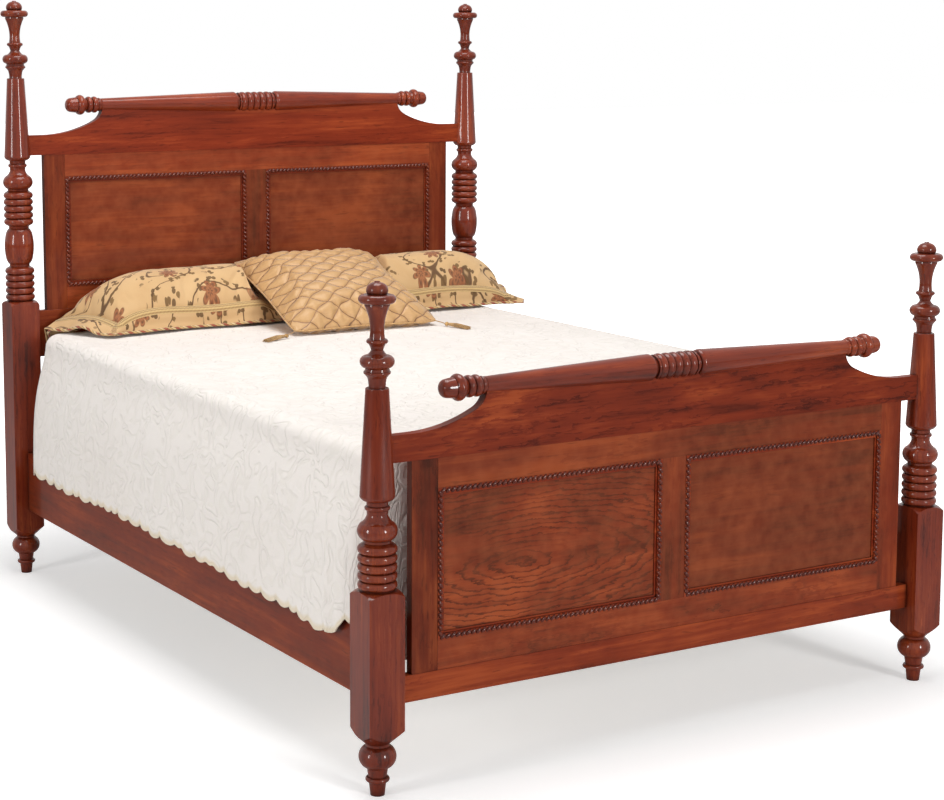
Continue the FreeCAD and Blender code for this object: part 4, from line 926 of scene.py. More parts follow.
def pillowFaces(countX, countY):
    # two sheets that share their edge points: the upper is a full grid, the lower only its inside
    def upper(i, j):
        return j * (countX + 1) + i

    offset = (countX + 1) * (countY + 1)

    def lower(i, j):
        if i in (0, countX) or j in (0, countY):
            return upper(i, j)
        return offset + (j - 1) * (countX - 1) + (i - 1)

    faces = []
    for j in range(countY):
        for i in range(countX):
            faces.append((upper(i, j), upper(i + 1, j), upper(i + 1, j + 1), upper(i, j + 1)))
            faces.append((lower(i, j), lower(i, j + 1), lower(i + 1, j + 1), lower(i + 1, j)))
    loop = [upper(i, 0) for i in range(countX)] + [upper(countX, j) for j in range(countY)]
    loop += [upper(i, countY) for i in range(countX, 0, -1)]
    loop += [upper(0, j) for j in range(countY, 0, -1)]
    return faces, loop


def pillowPiece(name, countX, countY, pointsAt):
    # pointsAt gives the upper and the lower sheet's point, each with its place on the cloth
    sheets = ([], [])
    for j in range(countY + 1):
        for i in range(countX + 1):
            upper, lower = pointsAt(i / countX, j / countY)
            sheets[0].append(upper)
            if 0 < i < countX and 0 < j < countY:
                sheets[1].append(lower)
    points, flat = zip(*(sheets[0] + sheets[1]))
    faces, loop = pillowFaces(countX, countY)
    return meshPiece(name, points, faces, flat), loop, flat


def seamPoints(piece, loop):
    return [piece.data.vertices[number].co.copy() for number in loop]


# pillow shams

shams = {
    "left": {"frontX": (-0.583, 0.030), "backX": (-0.688, 0.036), "frontY": (0.850, 0.850),
             "backY": (1.050, 1.060), "outer": -1, "backDrop": 0.046,
             "frontCorner": 27.0, "backCorner": 56.0,
             "endDroop": [(0.85, 34), (0.885, 20), (0.925, -14), (0.955, -4), (0.99, 34),
                          (1.02, 24), (1.045, 20)]},
    "right": {"frontX": (0.190, 0.812), "backX": (0.190, 0.838), "frontY": (0.850, 0.846),
              "backY": (1.060, 1.032), "outer": 1, "backDrop": 0.008,
              "frontCorner": 8.0, "backCorner": 40.0,
              "endDroop": [(0.84, 14), (0.88, 34), (0.93, 44), (0.97, 28), (1.03, 30)]},
}
shamShape = {
    "countX": 96, "countY": 40, "seam": 0.8235, "cornerDrop": 0.034, "backLift": 0.008,
    "seamWave": 0.0025, "crown": 0.101, "under": 0.078, "floor": 0.7553, "drawnIn": 0.007,
    "clothDepth": 0.33, "pressure": 2.2, "slack": 0.028, "bending": 0.4, "frames": 16,
    "cap": 0.009,
    "border": 0.064, "borderRows": 9, "borderThick": 0.0022, "borderCloth": 0.4,
    "frontDroop": 73.0, "frontDroopWave": 6.0, "innerDroop": 60.0, "backDroop": 86.0,
    "cornerShare": 3, "bendStart": 0.35, "pointed": 0.32, "boardAt": 1.069, "bedEnd": 1.015,
    "onBed": 0.7578, "behindBed": 0.69, "rowLift": 0.0006, "borderClear": 0.003,
    "braidWidth": 0.020, "braidLift": 0.0026, "braidThick": 0.0012, "braidBack": 0.005,
    "braidUp": 0.0045, "braidClear": 0.0015, "braidRow": 3,
    "cordRadius": 0.0046, "cordTwist": 0.0135, "cordStep": 0.0026, "cordSides": 12,
    "cordLobed": 0.22,
}


def shamSeam(spec, s, t):  # a place on the seam's own surface: s across, t from front to back
    left = mix(spec["frontX"][0], spec["backX"][0], t)
    right = mix(spec["frontX"][1], spec["backX"][1], t)
    front = mix(spec["frontY"][0], spec["frontY"][1], s)
    back = mix(spec["backY"][0], spec["backY"][1], s)
    pull = shamShape["drawnIn"]
    x = mix(left, right, s) - pull * math.sin(math.pi * t) * (2 * s - 1) * abs(2 * s - 1)
    y = mix(front, back, t) - pull * math.sin(math.pi * s) * (2 * t - 1) * abs(2 * t - 1)
    dip = abs(2 * s - 1) ** 7 * (1 - t) ** 1.5 * shamShape["cornerDrop"]
    dip += max(0.0, (2 * s - 1) * spec["outer"]) ** 6 * t ** 2 * spec["backDrop"]
    wave = shamShape["seamWave"] * math.sin(s * 11.0 + spec["outer"]) * (1 - t)
    return Vector((x, y, shamShape["seam"] - dip + shamShape["backLift"] * t + wave))


def buildSham(hand, spec):
    def pointsAt(s, t):
        seam = shamSeam(spec, s, t)
        full = (max(0.0, 1 - abs(2 * s - 1) ** 3.2) ** 0.55
                * max(0.0, 1 - abs(2 * t - 1) ** 2.3) ** 0.62)
        lump = 1 + 0.05 * math.sin(s * 9.0 + 1.0) * math.sin(t * 5.0)
        upper = seam + Vector((0, 0, shamShape["crown"] * full * lump))
        lowest = max(shamShape["floor"], seam.z - shamShape["under"] * full ** 0.7)
        lower = Vector((seam.x, seam.y, lowest))
        depth = t * shamShape["clothDepth"]
        return (upper, (seam.x, depth)), (lower, (seam.x, -depth))

    body, loop = pillowPiece(f"sham_{hand}_body", shamShape["countX"], shamShape["countY"],
                             pointsAt)[:2]
    inflate(body, shamShape, loop)
    for vertex in body.data.vertices:
        vertex.co = underCushion(vertex.co)
        vertex.co.z = max(vertex.co.z, shamShape["floor"])
    seamLine = seamPoints(body, loop)
    outward(body)
    rounder = body.modifiers.new("rounder", "SUBSURF")
    rounder.levels = rounder.render_levels = 1
    applyModifiers(body)
    smooth(body)
    return body, seamLine


def seamWays(seamLine):  # the way out at each seam point
    middle = sum(seamLine, Vector()) / len(seamLine)
    count = len(seamLine)
    ways = []
    for number, point in enumerate(seamLine):
        along = seamLine[(number + 2) % count] - seamLine[(number - 2) % count]
        way = Vector((along.y, -along.x, 0)).normalized()
        ways.append(-way if (point - middle).dot(way) < 0 else way)
    return ways


def borderDroop(point, way, spec):
    # degrees below level at this place of the seam; 90 hangs straight down
    outer, inner = max(0.0, way.x * spec["outer"]), max(0.0, -way.x * spec["outer"])
    front, back = max(0.0, -way.y), max(0.0, way.y)
    atFront = shamShape["frontDroop"] + shamShape["frontDroopWave"] * math.sin(
        point.x * 17.0 + 1.0)
    frontCorner, backCorner = (2 * outer * front) ** 2, (2 * outer * back) ** 2
    shares = [(outer ** 2, fromTable(spec["endDroop"], point.y)),
              (inner ** 2, shamShape["innerDroop"]), (front ** 2, atFront),
              (back ** 2, shamShape["backDroop"]),
              (frontCorner * shamShape["cornerShare"], spec["frontCorner"]),
              (backCorner * shamShape["cornerShare"], spec["backCorner"])]
    return sum(share * angle for share, angle in shares) / sum(share for share, angle in shares)


def buildBorder(hand, spec, seamLine):
    rows = shamShape["borderRows"]
    points, flat, edgeLine, braidLine = [], [], [], []
    around = 0.0
    for number, (point, way) in enumerate(zip(seamLine, seamWays(seamLine))):
        droop = math.radians(borderDroop(point, way, spec))
        diagonal = 1 + shamShape["pointed"] * (1 - abs(abs(way.x) - abs(way.y))) ** 3
        if way.y > 0 and way.x * spec["outer"] > 0.2:
            way = Vector((spec["outer"], -0.12, 0)).normalized()  # the board is close behind
        if number:
            around += (point - seamLine[number - 1]).length
        for row in range(rows + 1):
            reach = shamShape["border"] * row / rows
            bend = droop * min(1.0, shamShape["bendStart"] + row / rows)
            out = reach * math.cos(bend) * diagonal
            down = reach * math.sin(bend) * diagonal
            place = point + way * (out + 0.0006) - Vector((0, 0, down))
            place.y = min(place.y, shamShape["boardAt"])
            if way.y < 0.3 or place.z > 0.75:
                place = underCushion(place, shamShape["borderClear"])
            lowest = shamShape["onBed" if place.y < shamShape["bedEnd"] else "behindBed"]
            place.z = max(place.z, lowest + shamShape["rowLift"] * row)
            points.append(place)
            flat.append((around, reach + shamShape["borderCloth"]))
        edgeLine.append(points[-1].copy())
        fall = points[-rows - 1:]
        braidLine.append([fall[row].copy() for row in (0, 1, shamShape["braidRow"])])
    border = meshPiece(f"sham_{hand}_border", points, bandFaces(len(seamLine), rows + 1), flat)
    thicken(border, shamShape["borderThick"], 0)
    return border, edgeLine, braidLine


def tubeAlong(name, line, radius, sides, twist, lobed):
    # a closed cord round the line; its cloth map gives the turn and the length, for the strands
    count = len(line)
    points, flat = [], []
    travelled = 0.0
    up = Vector((0, 0, 1))
    for number, point in enumerate(line):
        along = (line[(number + 1) % count] - line[(number - 1) % count]).normalized()
        across = along.cross(up).normalized()
        over = across.cross(along).normalized()
        if number:
            travelled += (point - line[number - 1]).length
        for side in range(sides):
            angle = 2 * math.pi * side / sides
            strand = math.cos(3 * angle + 2 * math.pi * travelled / twist)
            swell = radius * (1 - lobed * 0.5 + lobed * 0.5 * strand)
            points.append(point + (across * math.cos(angle) + over * math.sin(angle)) * swell)
            flat.append((side / sides, travelled / twist))
    piece = meshPiece(name, points, bandFaces(count, sides, tube=True))
    mesh = piece.data
    layer = mesh.uv_layers.new(name="cloth")
    for polygon in mesh.polygons:
        values = [flat[mesh.loops[index].vertex_index] for index in polygon.loop_indices]
        wraps = max(value[0] for value in values) - min(value[0] for value in values) > 0.5
        for index, (turn, length) in zip(polygon.loop_indices, values):
            layer.data[index].uv = (turn + 1 if wraps and turn < 0.5 else turn, length)
    outward(piece)
    smooth(piece)
    return piece


def evenLine(line, step):  # the closed line again, in even steps
    lengths = [0.0]
    closed = line + [line[0]]
    for first, second in zip(closed, closed[1:]):
        lengths.append(lengths[-1] + (second - first).length)
    total = lengths[-1]
    count = round(total / step)
    result, number = [], 0
    for turn in range(count):
        at = total * turn / count
        while lengths[number + 1] < at:
            number += 1
        share = (at - lengths[number]) / max(1e-9, lengths[number + 1] - lengths[number])
        result.append(closed[number].lerp(closed[number + 1], share))
    return result


def smoothLine(line):  # each point moved half way to its neighbours' middle
    following = line[1:] + line[:1]
    return [point * 0.5 + (line[number - 1] + following[number]) * 0.25
            for number, point in enumerate(line)]


def buildBraid(hand, braidLine):
    # the woven band over the seam: up the body a little, and down the border
    points, flat = [], []
    travelled = 0.0
    for number, (seam, near, far) in enumerate(braidLine):
        if number:
            travelled += (seam - braidLine[number - 1][0]).length
        out = (far - seam).normalized()
        level = Vector((out.x, out.y, 0)).normalized()
        upward = Vector((0, 0, 1)) - out * out.z
        upward = upward.normalized() if upward.length > 0.05 else level
        lift = upward * shamShape["braidLift"]
        start = seam - level * shamShape["braidBack"] + Vector((0, 0, shamShape["braidUp"]))
        for place, share in ((start, 0.0), (seam + lift, 0.25), (near + lift, 0.6),
                             (far + lift * 0.9, 1.0), (far + lift * 0.2, 1.08)):
            points.append(underCushion(place, shamShape["braidClear"]))
            flat.append((travelled, share * shamShape["braidWidth"]))
    wide = len(points) // len(braidLine)
    braid = meshPiece(f"sham_{hand}_braid", points, bandFaces(len(braidLine), wide), flat)
    thicken(braid, shamShape["braidThick"])
    return braid


def makeBlossoms():
    # petalled shapes scattered one to a cell: a mask, and a ring for the petals' shading
    group, given, out = effectGroup("scatteredBlossoms", [
        ("Vector", "NodeSocketVector", None), ("Scale", "NodeSocketFloat", 6.0),
        ("Radius", "NodeSocketFloat", 0.3), ("Petals", "NodeSocketFloat", 5.0),
        ("Depth", "NodeSocketFloat", 0.3)],
        [("Mask", "NodeSocketFloat"), ("Shade", "NodeSocketFloat"), ("Chance", "NodeSocketFloat")])
    cells = newNode(group, "ShaderNodeTexVoronoi", feature="F1", voronoi_dimensions="2D")
    cells.inputs["Randomness"].default_value = 0.75
    group.links.new(given["Vector"], cells.inputs["Vector"])
    group.links.new(given["Scale"], cells.inputs["Scale"])
    away = newNode(group, "ShaderNodeVectorMath", operation="SUBTRACT")
    feed(group, away.inputs, (given["Vector"], cells.outputs["Position"]))
    parts = partsOf(group, away.outputs[0])
    chance = newNode(group, "ShaderNodeSeparateColor")
    group.links.new(cells.outputs["Color"], chance.inputs[0])
    turn = times(group, chance.outputs[0], 6.283)
    angle = plus(group, mathNode(group, "ARCTAN2", parts[1], parts[0]), turn)
    petal = times(group, angle, times(group, given["Petals"], 0.5))
    wave = mathNode(group, "ABSOLUTE", mathNode(group, "COSINE", petal))
    rim = plus(group, minus(group, 1.0, given["Depth"]), times(group, wave, given["Depth"]))
    rim = times(group, given["Radius"], rim)
    share = mathNode(group, "DIVIDE", cells.outputs["Distance"], rim)
    folded = mathNode(group, "PINGPONG", times(group, share, 2.6), 0.5)
    group.links.new(fallRamp(group, share, 0.9, 1.02), out["Mask"])
    group.links.new(times(group, times(group, folded, 2.0), wave), out["Shade"])
    group.links.new(chance.outputs[1], out["Chance"])
    return group


def makeClothWeave():  # over and under threads: a height, and a mask for the warp
    group, given, out = effectGroup("clothWeave", [
        ("Vector", "NodeSocketVector", None), ("Threads", "NodeSocketFloat", 900.0)],
        [("Height", "NodeSocketFloat"), ("Warp", "NodeSocketFloat")])
    parts = partsOf(group, given["Vector"])
    warp, weft = (mathNode(group, "SINE", times(group, parts[axis], given["Threads"]))
                  for axis in (0, 1))
    for value, label in ((times(group, warp, weft), "Height"), (warp, "Warp")):
        group.links.new(plus(group, times(group, value, 0.5), 0.5), out[label])
    return group


def makeTapestry():
    material, tree, shader = plainMaterial("sham_tapestry_weave", {
        "Sheen Weight": 0.2, "Sheen Roughness": 0.5, "Specular IOR Level": 0.25})
    flat = clothPlace(tree)
    wobble = newNode(tree, "ShaderNodeVectorMath", operation="SCALE")
    tree.links.new(noiseNode(tree, flat, Scale=24.0)["Color"], wobble.inputs[0])
    wobble.inputs["Scale"].default_value = 0.016
    bent = newNode(tree, "ShaderNodeVectorMath", operation="ADD")
    feed(tree, bent.inputs, (flat, wobble.outputs[0]))
    vector = bent.outputs[0]
    ground = mixColours(tree, noiseOf(tree, flat, 7.0), srgb(194, 154, 106), srgb(220, 185, 138))
    # stems are thin level lines of a slow noise
    slow = mathNode(tree, "FRACT", times(tree, noiseOf(tree, vector, 6.4, 0.0), 4.4))
    stemLine = mathNode(tree, "ABSOLUTE", minus(tree, slow, 0.5))
    stems = times(tree, fallRamp(tree, stemLine, 0.022, 0.052),
                  greyRamp(tree, noiseOf(tree, flat, 9.0), 0.33, 0.40))
    colour = mixColours(tree, times(tree, stems, 0.9), ground, srgb(76, 44, 26))
    leaves = placeGroup(tree, blossoms, vector, {
        "Scale": 33.0, "Radius": 0.40, "Petals": 2.0, "Depth": 0.76})
    leafMask = times(tree, leaves["Mask"], fallRamp(tree, stemLine, 0.24, 0.30))
    leafMask = times(tree, leafMask, greyRamp(tree, leaves["Chance"], 0.16, 0.22))
    leafColour = mixColours(tree, leaves["Chance"], srgb(66, 40, 26), srgb(118, 86, 46))
    colour = mixColours(tree, times(tree, leafMask, 0.9), colour, leafColour)
    flowers = placeGroup(tree, blossoms, mapped(tree, vector, shift=(0.037, 0.021, 0)), {
        "Scale": 10.4, "Radius": 0.37, "Petals": 7.0, "Depth": 0.5})
    flowerMask = times(tree, flowers["Mask"], greyRamp(tree, flowers["Chance"], 0.46, 0.5))
    flowerColour = mixColours(tree, flowers["Chance"], srgb(128, 66, 42), srgb(172, 104, 64))
    flowerColour = mixColours(tree, flowers["Shade"], flowerColour, srgb(78, 38, 24))
    colour = mixColours(tree, times(tree, flowerMask, 0.92), colour, flowerColour)
    weave = placeGroup(tree, clothWeave, flat, {"Threads": 2600.0})
    colour = mixColours(tree, times(tree, weave["Warp"], 0.16), colour, srgb(150, 120, 76))
    pattern = times(tree, mathNode(tree, "MAXIMUM", leafMask, flowerMask), 0.5)
    raised = plus(tree, pattern, times(tree, weave["Height"], 0.4))
    dress(tree, shader, colour, minus(tree, 0.86, times(tree, raised, 0.15)), raised,
          (0.0007, 0.7))
    return material


def makeBraidWeave():
    material, tree, shader = plainMaterial("sham_braid", {
        "Sheen Weight": 0.3, "Specular IOR Level": 0.3})
    along, across = partsOf(tree, clothPlace(tree))[:2]
    lanes = mathNode(tree, "SINE", times(tree, across, 2 * math.pi / 0.0062))
    slant = times(tree, mathNode(tree, "ABSOLUTE", lanes), 2.4)
    chevron = mathNode(tree, "SINE", plus(tree, times(tree, along, 2 * math.pi / 0.0046), slant))
    height = plus(tree, times(tree, chevron, 0.3), times(tree, lanes, 0.3))
    # darker in the weave's low parts: painted shade
    tone = greyRamp(tree, height, -0.5, 0.5)
    colour = mixColours(tree, tone, srgb(136, 100, 56), srgb(212, 180, 122))
    dress(tree, shader, colour, minus(tree, 0.75, times(tree, tone, 0.2)), height, (0.0012, 0.8))
    return material


def makeTwistedCord():
    material, tree, shader = plainMaterial("sham_twisted_cord", {
        "Sheen Weight": 0.3, "Specular IOR Level": 0.35})
    around, along = partsOf(tree, clothPlace(tree))[:2]
    lay = mathNode(tree, "FRACT", plus(tree, around, times(tree, along, 0.3333)))
    strand = mathNode(tree, "FRACT", times(tree, lay, 3.0))
    inStrand = mathNode(tree, "ABSOLUTE", minus(tree, strand, 0.5))
    colour = ramp(tree, lay, [(0.0, srgb(218, 192, 142)), (0.333, srgb(156, 72, 44)),
                              (0.666, srgb(206, 170, 112))])
    colour.node.color_ramp.interpolation = "CONSTANT"
    threads = mathNode(tree, "SINE", times(tree, minus(tree, along, around), 34.0))
    # dark where the strands meet: painted shade between them
    colour = mixColours(tree, greyRamp(tree, inStrand, 0.34, 0.5), colour, srgb(72, 36, 22))
    shade = times(tree, greyRamp(tree, threads, 0.0, 1.0), 0.25)
    colour = mixColours(tree, shade, colour, srgb(120, 78, 44))
    height = plus(tree, times(tree, inStrand, -1.4), times(tree, threads, 0.12))
    dress(tree, shader, colour, plus(tree, 0.55, times(tree, inStrand, 0.4)), height,
          (0.0012, 0.9))
    return material


blossoms = makeBlossoms()
clothWeave = makeClothWeave()
tapestry = makeTapestry()
braidWeave = makeBraidWeave()
twistedCord = makeTwistedCord()
for hand, spec in shams.items():
    body, seamLine = buildSham(hand, spec)
    border, edgeLine, braidLine = buildBorder(hand, spec, seamLine)
    braid = buildBraid(hand, braidLine)
    edge = evenLine(smoothLine(smoothLine(edgeLine)), shamShape["cordStep"])
    cord = tubeAlong(f"sham_{hand}_cord", edge, shamShape["cordRadius"], shamShape["cordSides"],
                     shamShape["cordTwist"], shamShape["cordLobed"])
    handOver(body, f"sham_{hand}_body", tapestry, [f"pillow_sham_{hand}"])
    for piece, part, material in ((border, "border", tapestry), (braid, "braid", braidWeave),
                                  (cord, "cord", twistedCord)):
        handOver(piece, f"sham_{hand}_{part}", material)
print("pillow shams done")


# square cushion

def lattice(x, y):  # distance to the nearest tuck as a share of a cell: 0 on a tuck, 1 mid cell
    wide, high = x / cushion["cellWide"], y / cushion["cellHigh"]
    first = wide + high + cushion["cellBow"] * math.sin(2 * math.pi * wide)
    second = wide - high + cushion["cellBow"] * math.sin(2 * math.pi * wide + 1.0)
    near = min(abs(first - round(first)), abs(second - round(second)))
    return min(1.0, near * 2)


def buildCushion():
    def pointsAt(across, up):
        upper, lower = (cushionPoint(2 * across - 1, 2 * up - 1, above) for above in (True, False))
        return (upper, (upper.x, upper.y)), (lower, (lower.x, lower.y))

    body, loop, flat = pillowPiece("cushion_body", cushion["cells"], cushion["cells"], pointsAt)
    inflate(body, cushion, loop)
    half = cushion["side"] / 2
    ways = [vertex.normal.copy() for vertex in body.data.vertices]
    for vertex, (x, y), way in zip(body.data.vertices, flat, ways):  # the pintucks
        rim = min(half - abs(x), half - abs(y - half))
        fade = min(1.0, max(0.0, (rim - cushion["rimPlain"]) / cushion["rimFade"]))
        vertex.co += way * (cushion["tuckPuff"] * (lattice(x, y) ** 0.5 - 0.75) * fade)
    seamLine = [cushionPlace @ point for point in seamPoints(body, loop)]
    body.data.transform(cushionPlace)
    outward(body)
    smooth(body)
    piping = tubeAlong("cushion_piping", evenLine(seamLine, cushion["pipingStep"]),
                       cushion["pipingRadius"], 8, 0.02, 0.0)
    return body, piping


def makeCushionSilk():
    material, tree, shader = plainMaterial("cushion_silk_weave", {
        "Sheen Weight": 0.45, "Sheen Roughness": 0.35, "Specular IOR Level": 0.45})
    flat = clothPlace(tree)
    parts = partsOf(tree, flat)
    wide = mathNode(tree, "DIVIDE", parts[0], cushion["cellWide"])
    high = mathNode(tree, "DIVIDE", parts[1], cushion["cellHigh"])
    turn = times(tree, wide, 2 * math.pi)
    lines = []
    for operation, angle in (("ADD", turn), ("SUBTRACT", plus(tree, turn, 1.0))):
        bow = times(tree, mathNode(tree, "SINE", angle), cushion["cellBow"])
        line = plus(tree, mathNode(tree, operation, wide, high), bow)
        lines.append(mathNode(tree, "PINGPONG", line, 0.5))  # 0 on a tuck
    nearest = mathNode(tree, "MINIMUM", *lines)
    # masks on and beside the tucks, which give painted shade below
    tuck = fallRamp(tree, nearest, 0.010, 0.036)
    soft = fallRamp(tree, nearest, 0.0, 0.16)
    slubs = noiseOf(tree, mapped(tree, flat, (60, 420, 1)), 1.0, 3.0, 0.6)
    patch = times(tree, noiseOf(tree, flat, 16.0), 0.5)
    colour = mixColours(tree, slubs, srgb(176, 134, 86), srgb(204, 164, 114))
    # painted shade: darker beside the tucks and dark lines on them
    for share, tint in ((patch, srgb(188, 148, 98)), (times(tree, soft, 0.35), srgb(150, 100, 52)),
                        (times(tree, tuck, 0.8), srgb(84, 48, 24))):
        colour = mixColours(tree, share, colour, tint)
    dress(tree, shader, colour, plus(tree, 0.37, times(tree, slubs, 0.2)),
          minus(tree, times(tree, slubs, 0.15), soft), (0.0018, 0.8))
    return material


cushionBody, cushionPiping = buildCushion()
handOver(cushionBody, "cushion_body", makeCushionSilk(), ["square_cushion"])
print("square cushion done")


# tassels

tassels = {
    "left": {"start": Vector((-0.146, 0.553, 0.7612)), "way": Vector((-0.94, -0.34, 0)),
             "corner": -1, "seed": 17},
    "right": {"start": Vector((0.366, 0.538, 0.7612)), "way": Vector((0.31, -0.95, 0)),
              "corner": 1, "seed": 29},
}
tasselShape = {
    "cord": 0.026, "cordRadius": 0.0019, "knot": 0.0072, "knotFlat": 0.94, "collar": 0.0060,
    "skirt": 0.084, "strands": 46, "strandTop": 0.0013, "strandEnd": 0.0012,
    "topWide": 0.0042, "midWide": 0.0088, "midTall": 0.0062, "spread": 0.0115,
    "midJitter": 0.0012, "endJitter": 0.0025, "overlap": 1.04, "restAbove": 0.0008,
    "strandAbove": 0.001,
}


def makeYarn(name, light, dark):
    material, tree, shader = plainMaterial(name, {"Sheen Weight": 0.4, "Specular IOR Level": 0.3})
    place = objectPlace(tree)
    strands = noiseOf(tree, place, 260.0, 3.0, 0.6, 0.5)
    bands = noiseOf(tree, place, 60.0, 1.0)
    tone = plus(tree, times(tree, strands, 0.7), times(tree, bands, 0.3))
    dress(tree, shader, mixColours(tree, greyRamp(tree, tone, 0.3, 0.7), dark, light),
          plus(tree, 0.5, times(tree, strands, 0.3)), strands, (0.0006, 0.7))
    return material


def makeStrand():  # a short strand of yarn, one unit long, thinner at its ends
    pickNothing()
    bpy.ops.mesh.primitive_cylinder_add(vertices=6, radius=1.0, depth=1.0)
    strand = bpy.context.object
    openEdit("SELECT")
    bpy.ops.mesh.bisect(plane_co=(0, 0, 0), plane_no=(0, 0, 1))
    closeEdit()
    for vertex in strand.data.vertices:
        vertex.select = abs(vertex.co.z) > 0.4
    openEdit()
    bpy.ops.mesh.select_mode(type="VERT")
    bpy.ops.transform.resize(value=(0.8, 0.8, 1.0), center_override=(0, 0, 0))
    closeEdit()
    return strand


def addStrand(start, end, radius):  # laid from start to end
    along = end - start
    strand = copyOf(strandShape, "strand")
    size = Matrix.Diagonal((radius, radius, along.length * tasselShape["overlap"], 1))
    strand.data.transform(Matrix.Translation((start + end) / 2)
                          @ along.to_track_quat("Z", "Y").to_matrix().to_4x4() @ size)
    return strand


def addKnot(place):
    pickNothing()
    bpy.ops.mesh.primitive_uv_sphere_add(segments=14, ring_count=10, radius=tasselShape["knot"],
                                         location=place)
    knot = bpy.context.object
    settle(knot)
    openEdit("SELECT")
    bpy.ops.transform.resize(value=(1.0, 1.0, tasselShape["knotFlat"]), center_override=place)
    closeEdit()
    return knot


def buildTassel(hand, spec):
    shape = tasselShape
    dice = random.Random(spec["seed"])
    way = spec["way"].normalized()
    across = Vector((-way.y, way.x, 0))
    up = Vector((0, 0, 1))
    neck = spec["start"] + way * shape["cord"]
    rest = spread["top"] + shape["restAbove"]
    corner = cushionPlace @ cushionPoint(spec["corner"], -1, True)
    collar = neck + way * shape["knot"] * 1.1
    parts = [addStrand(corner, neck, shape["cordRadius"]), addKnot(neck),
             addStrand(collar - way * 0.002, collar + way * 0.005, shape["collar"])]
    for number in range(shape["strands"]):  # the skirt's strands fan out and lie on the cloth
        angle = 2 * math.pi * number / shape["strands"] * 3
        ring = math.sqrt((number + 1) / shape["strands"])
        side, height = math.cos(angle) * ring, math.sin(angle) * ring
        length = shape["skirt"] * dice.uniform(0.86, 1.0)
        midSide = side * shape["midWide"] + dice.uniform(-1, 1) * shape["midJitter"]
        endSide = side * shape["spread"] + dice.uniform(-1, 1) * shape["endJitter"]
        first = (collar + way * 0.003 + across * side * shape["topWide"]
                 + up * height * shape["topWide"])
        middle = collar + way * length * 0.45 + across * midSide + up * height * shape["midTall"]
        last = collar + way * length + across * endSide
        last.z = rest + shape["strandAbove"] + max(0.0, height + 0.4) * 0.006
        middle.z = max(middle.z, rest + shape["strandAbove"])
        first.z = max(first.z, rest + shape["strandAbove"])
        parts.append(addStrand(first, middle, shape["strandTop"]))
        parts.append(addStrand(middle, last, shape["strandEnd"]))
    name = f"tassel_{hand}"
    whole = joinAll(parts, name)
    smooth(whole, 70)
    handOver(whole, name, tasselYarn, [f"cushion_tassel_{hand}"])


tasselYarn = makeYarn("tassel_yarn_twist", srgb(206, 166, 104), srgb(132, 92, 48))
pipingYarn = makeYarn("cushion_piping_silk", srgb(204, 164, 108), srgb(160, 116, 66))
handOver(cushionPiping, "cushion_piping", pipingYarn)
strandShape = makeStrand()
for hand, spec in tassels.items():
    buildTassel(hand, spec)
bpy.data.objects.remove(strandShape)
print("tassels done")


# floor, light and camera

studio = {
    "floorColour": srgb(238, 238, 238), "floorGlow": 0.42, "clearFrom": 1.3, "clearTo": 3.2,
    "world": 0.25,
    "lamps": {
        "leftSoftbox": {"at": (-8.0, -1.5, 2.3), "towards": (-0.5, -0.3, 0.7),
                        "size": (1.1, 2.9), "power": 215},
        "rightSoftbox": {"at": (1.7, -8.9, 2.7), "towards": (0, -0.6, 0.7),
                         "size": (1.1, 2.9), "power": 350},
        "overhead": {"at": (-0.3, -0.2, 4.4), "towards": (-0.1, 0, 0.5),
                     "size": (2.2, 2.6), "power": 132},
    },
    "lens": 78.74, "shift": (0.0872, -0.1185), "eye": (-2.985, -4.866, 1.672), "yaw": 0.53024,
    "pitch": 7.183,
}


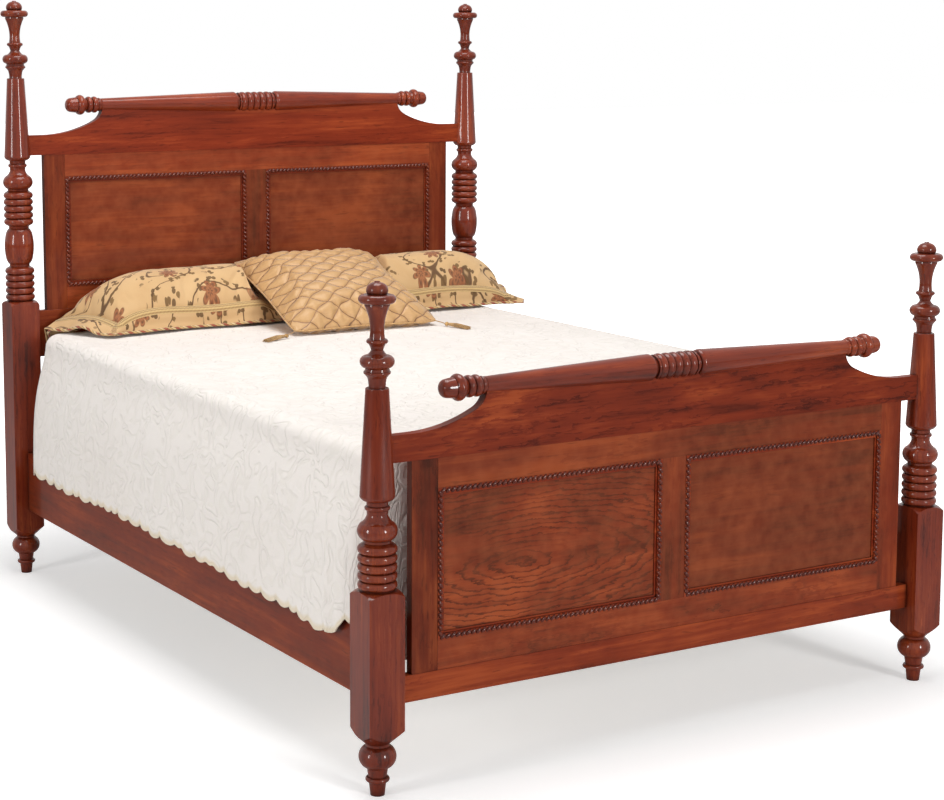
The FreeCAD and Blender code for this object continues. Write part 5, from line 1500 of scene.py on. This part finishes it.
def makeFloor():
    pickNothing()
    bpy.ops.mesh.primitive_plane_add(size=60.0)
    floor = bpy.context.object
    floor.name = "studio_floor"
    material, tree, shader = plainMaterial("studio_floor_paint", {
        "Specular IOR Level": 0.1, "Roughness": 0.9, "Emission Color": (1, 1, 1, 1)})
    place = newNode(tree, "ShaderNodeTexCoord").outputs["Object"]
    speck = times(tree, noiseOf(tree, place, 3.0), 0.1)
    colour = mixColours(tree, speck, studio["floorColour"], srgb(232, 232, 232))
    tree.links.new(colour, shader.inputs["Base Color"])
    rays = newNode(tree, "ShaderNodeLightPath").outputs
    away = newNode(tree, "ShaderNodeVectorMath", operation="LENGTH")  # white far out
    tree.links.new(place, away.inputs[0])
    far = greyRamp(tree, away.outputs["Value"], studio["clearFrom"], studio["clearTo"])
    glow = plus(tree, studio["floorGlow"], times(tree, far, 0.8))
    glow = times(tree, rays["Is Camera Ray"], glow)
    tree.links.new(glow, shader.inputs["Emission Strength"])
    floor.data.materials.append(material)


def makeWorld():
    world = bpy.data.worlds.new("studio")
    scene.world = world
    world.use_nodes = True
    tree = world.node_tree
    sky = tree.nodes["Background"]
    sky.inputs["Color"].default_value = (1, 1, 1, 1)
    rays = newNode(tree, "ShaderNodeLightPath").outputs
    seen = mathNode(tree, "MAXIMUM", rays["Is Camera Ray"], rays["Is Glossy Ray"])
    seen = mathNode(tree, "MAXIMUM", seen, rays["Is Transmission Ray"])
    strength = plus(tree, studio["world"], times(tree, seen, 1 - studio["world"]))
    tree.links.new(strength, sky.inputs["Strength"])


def makeLamps():
    for name, spec in studio["lamps"].items():
        light = bpy.data.lights.new(name, "AREA")
        light.shape = "RECTANGLE"
        light.size, light.size_y = spec["size"]
        light.energy = spec["power"]
        lamp = bpy.data.objects.new(name, light)
        scene.collection.objects.link(lamp)
        lamp.location = spec["at"]
        aim = Vector(spec["towards"]) - lamp.location
        lamp.rotation_euler = aim.to_track_quat("-Z", "Y").to_euler()


def makeCamera():
    view = bpy.data.cameras.new("photographView")
    view.lens = studio["lens"]
    view.sensor_width = 36.0
    view.shift_x, view.shift_y = studio["shift"]
    view.clip_end = 200
    camera = bpy.data.objects.new("photographView", view)
    scene.collection.objects.link(camera)
    camera.location = studio["eye"]
    camera.rotation_euler = (math.radians(90 - studio["pitch"]), 0, -studio["yaw"])
    scene.camera = camera


makeFloor()
makeWorld()
makeLamps()
makeCamera()
scene.view_settings.view_transform = "Standard"
print("studio done")
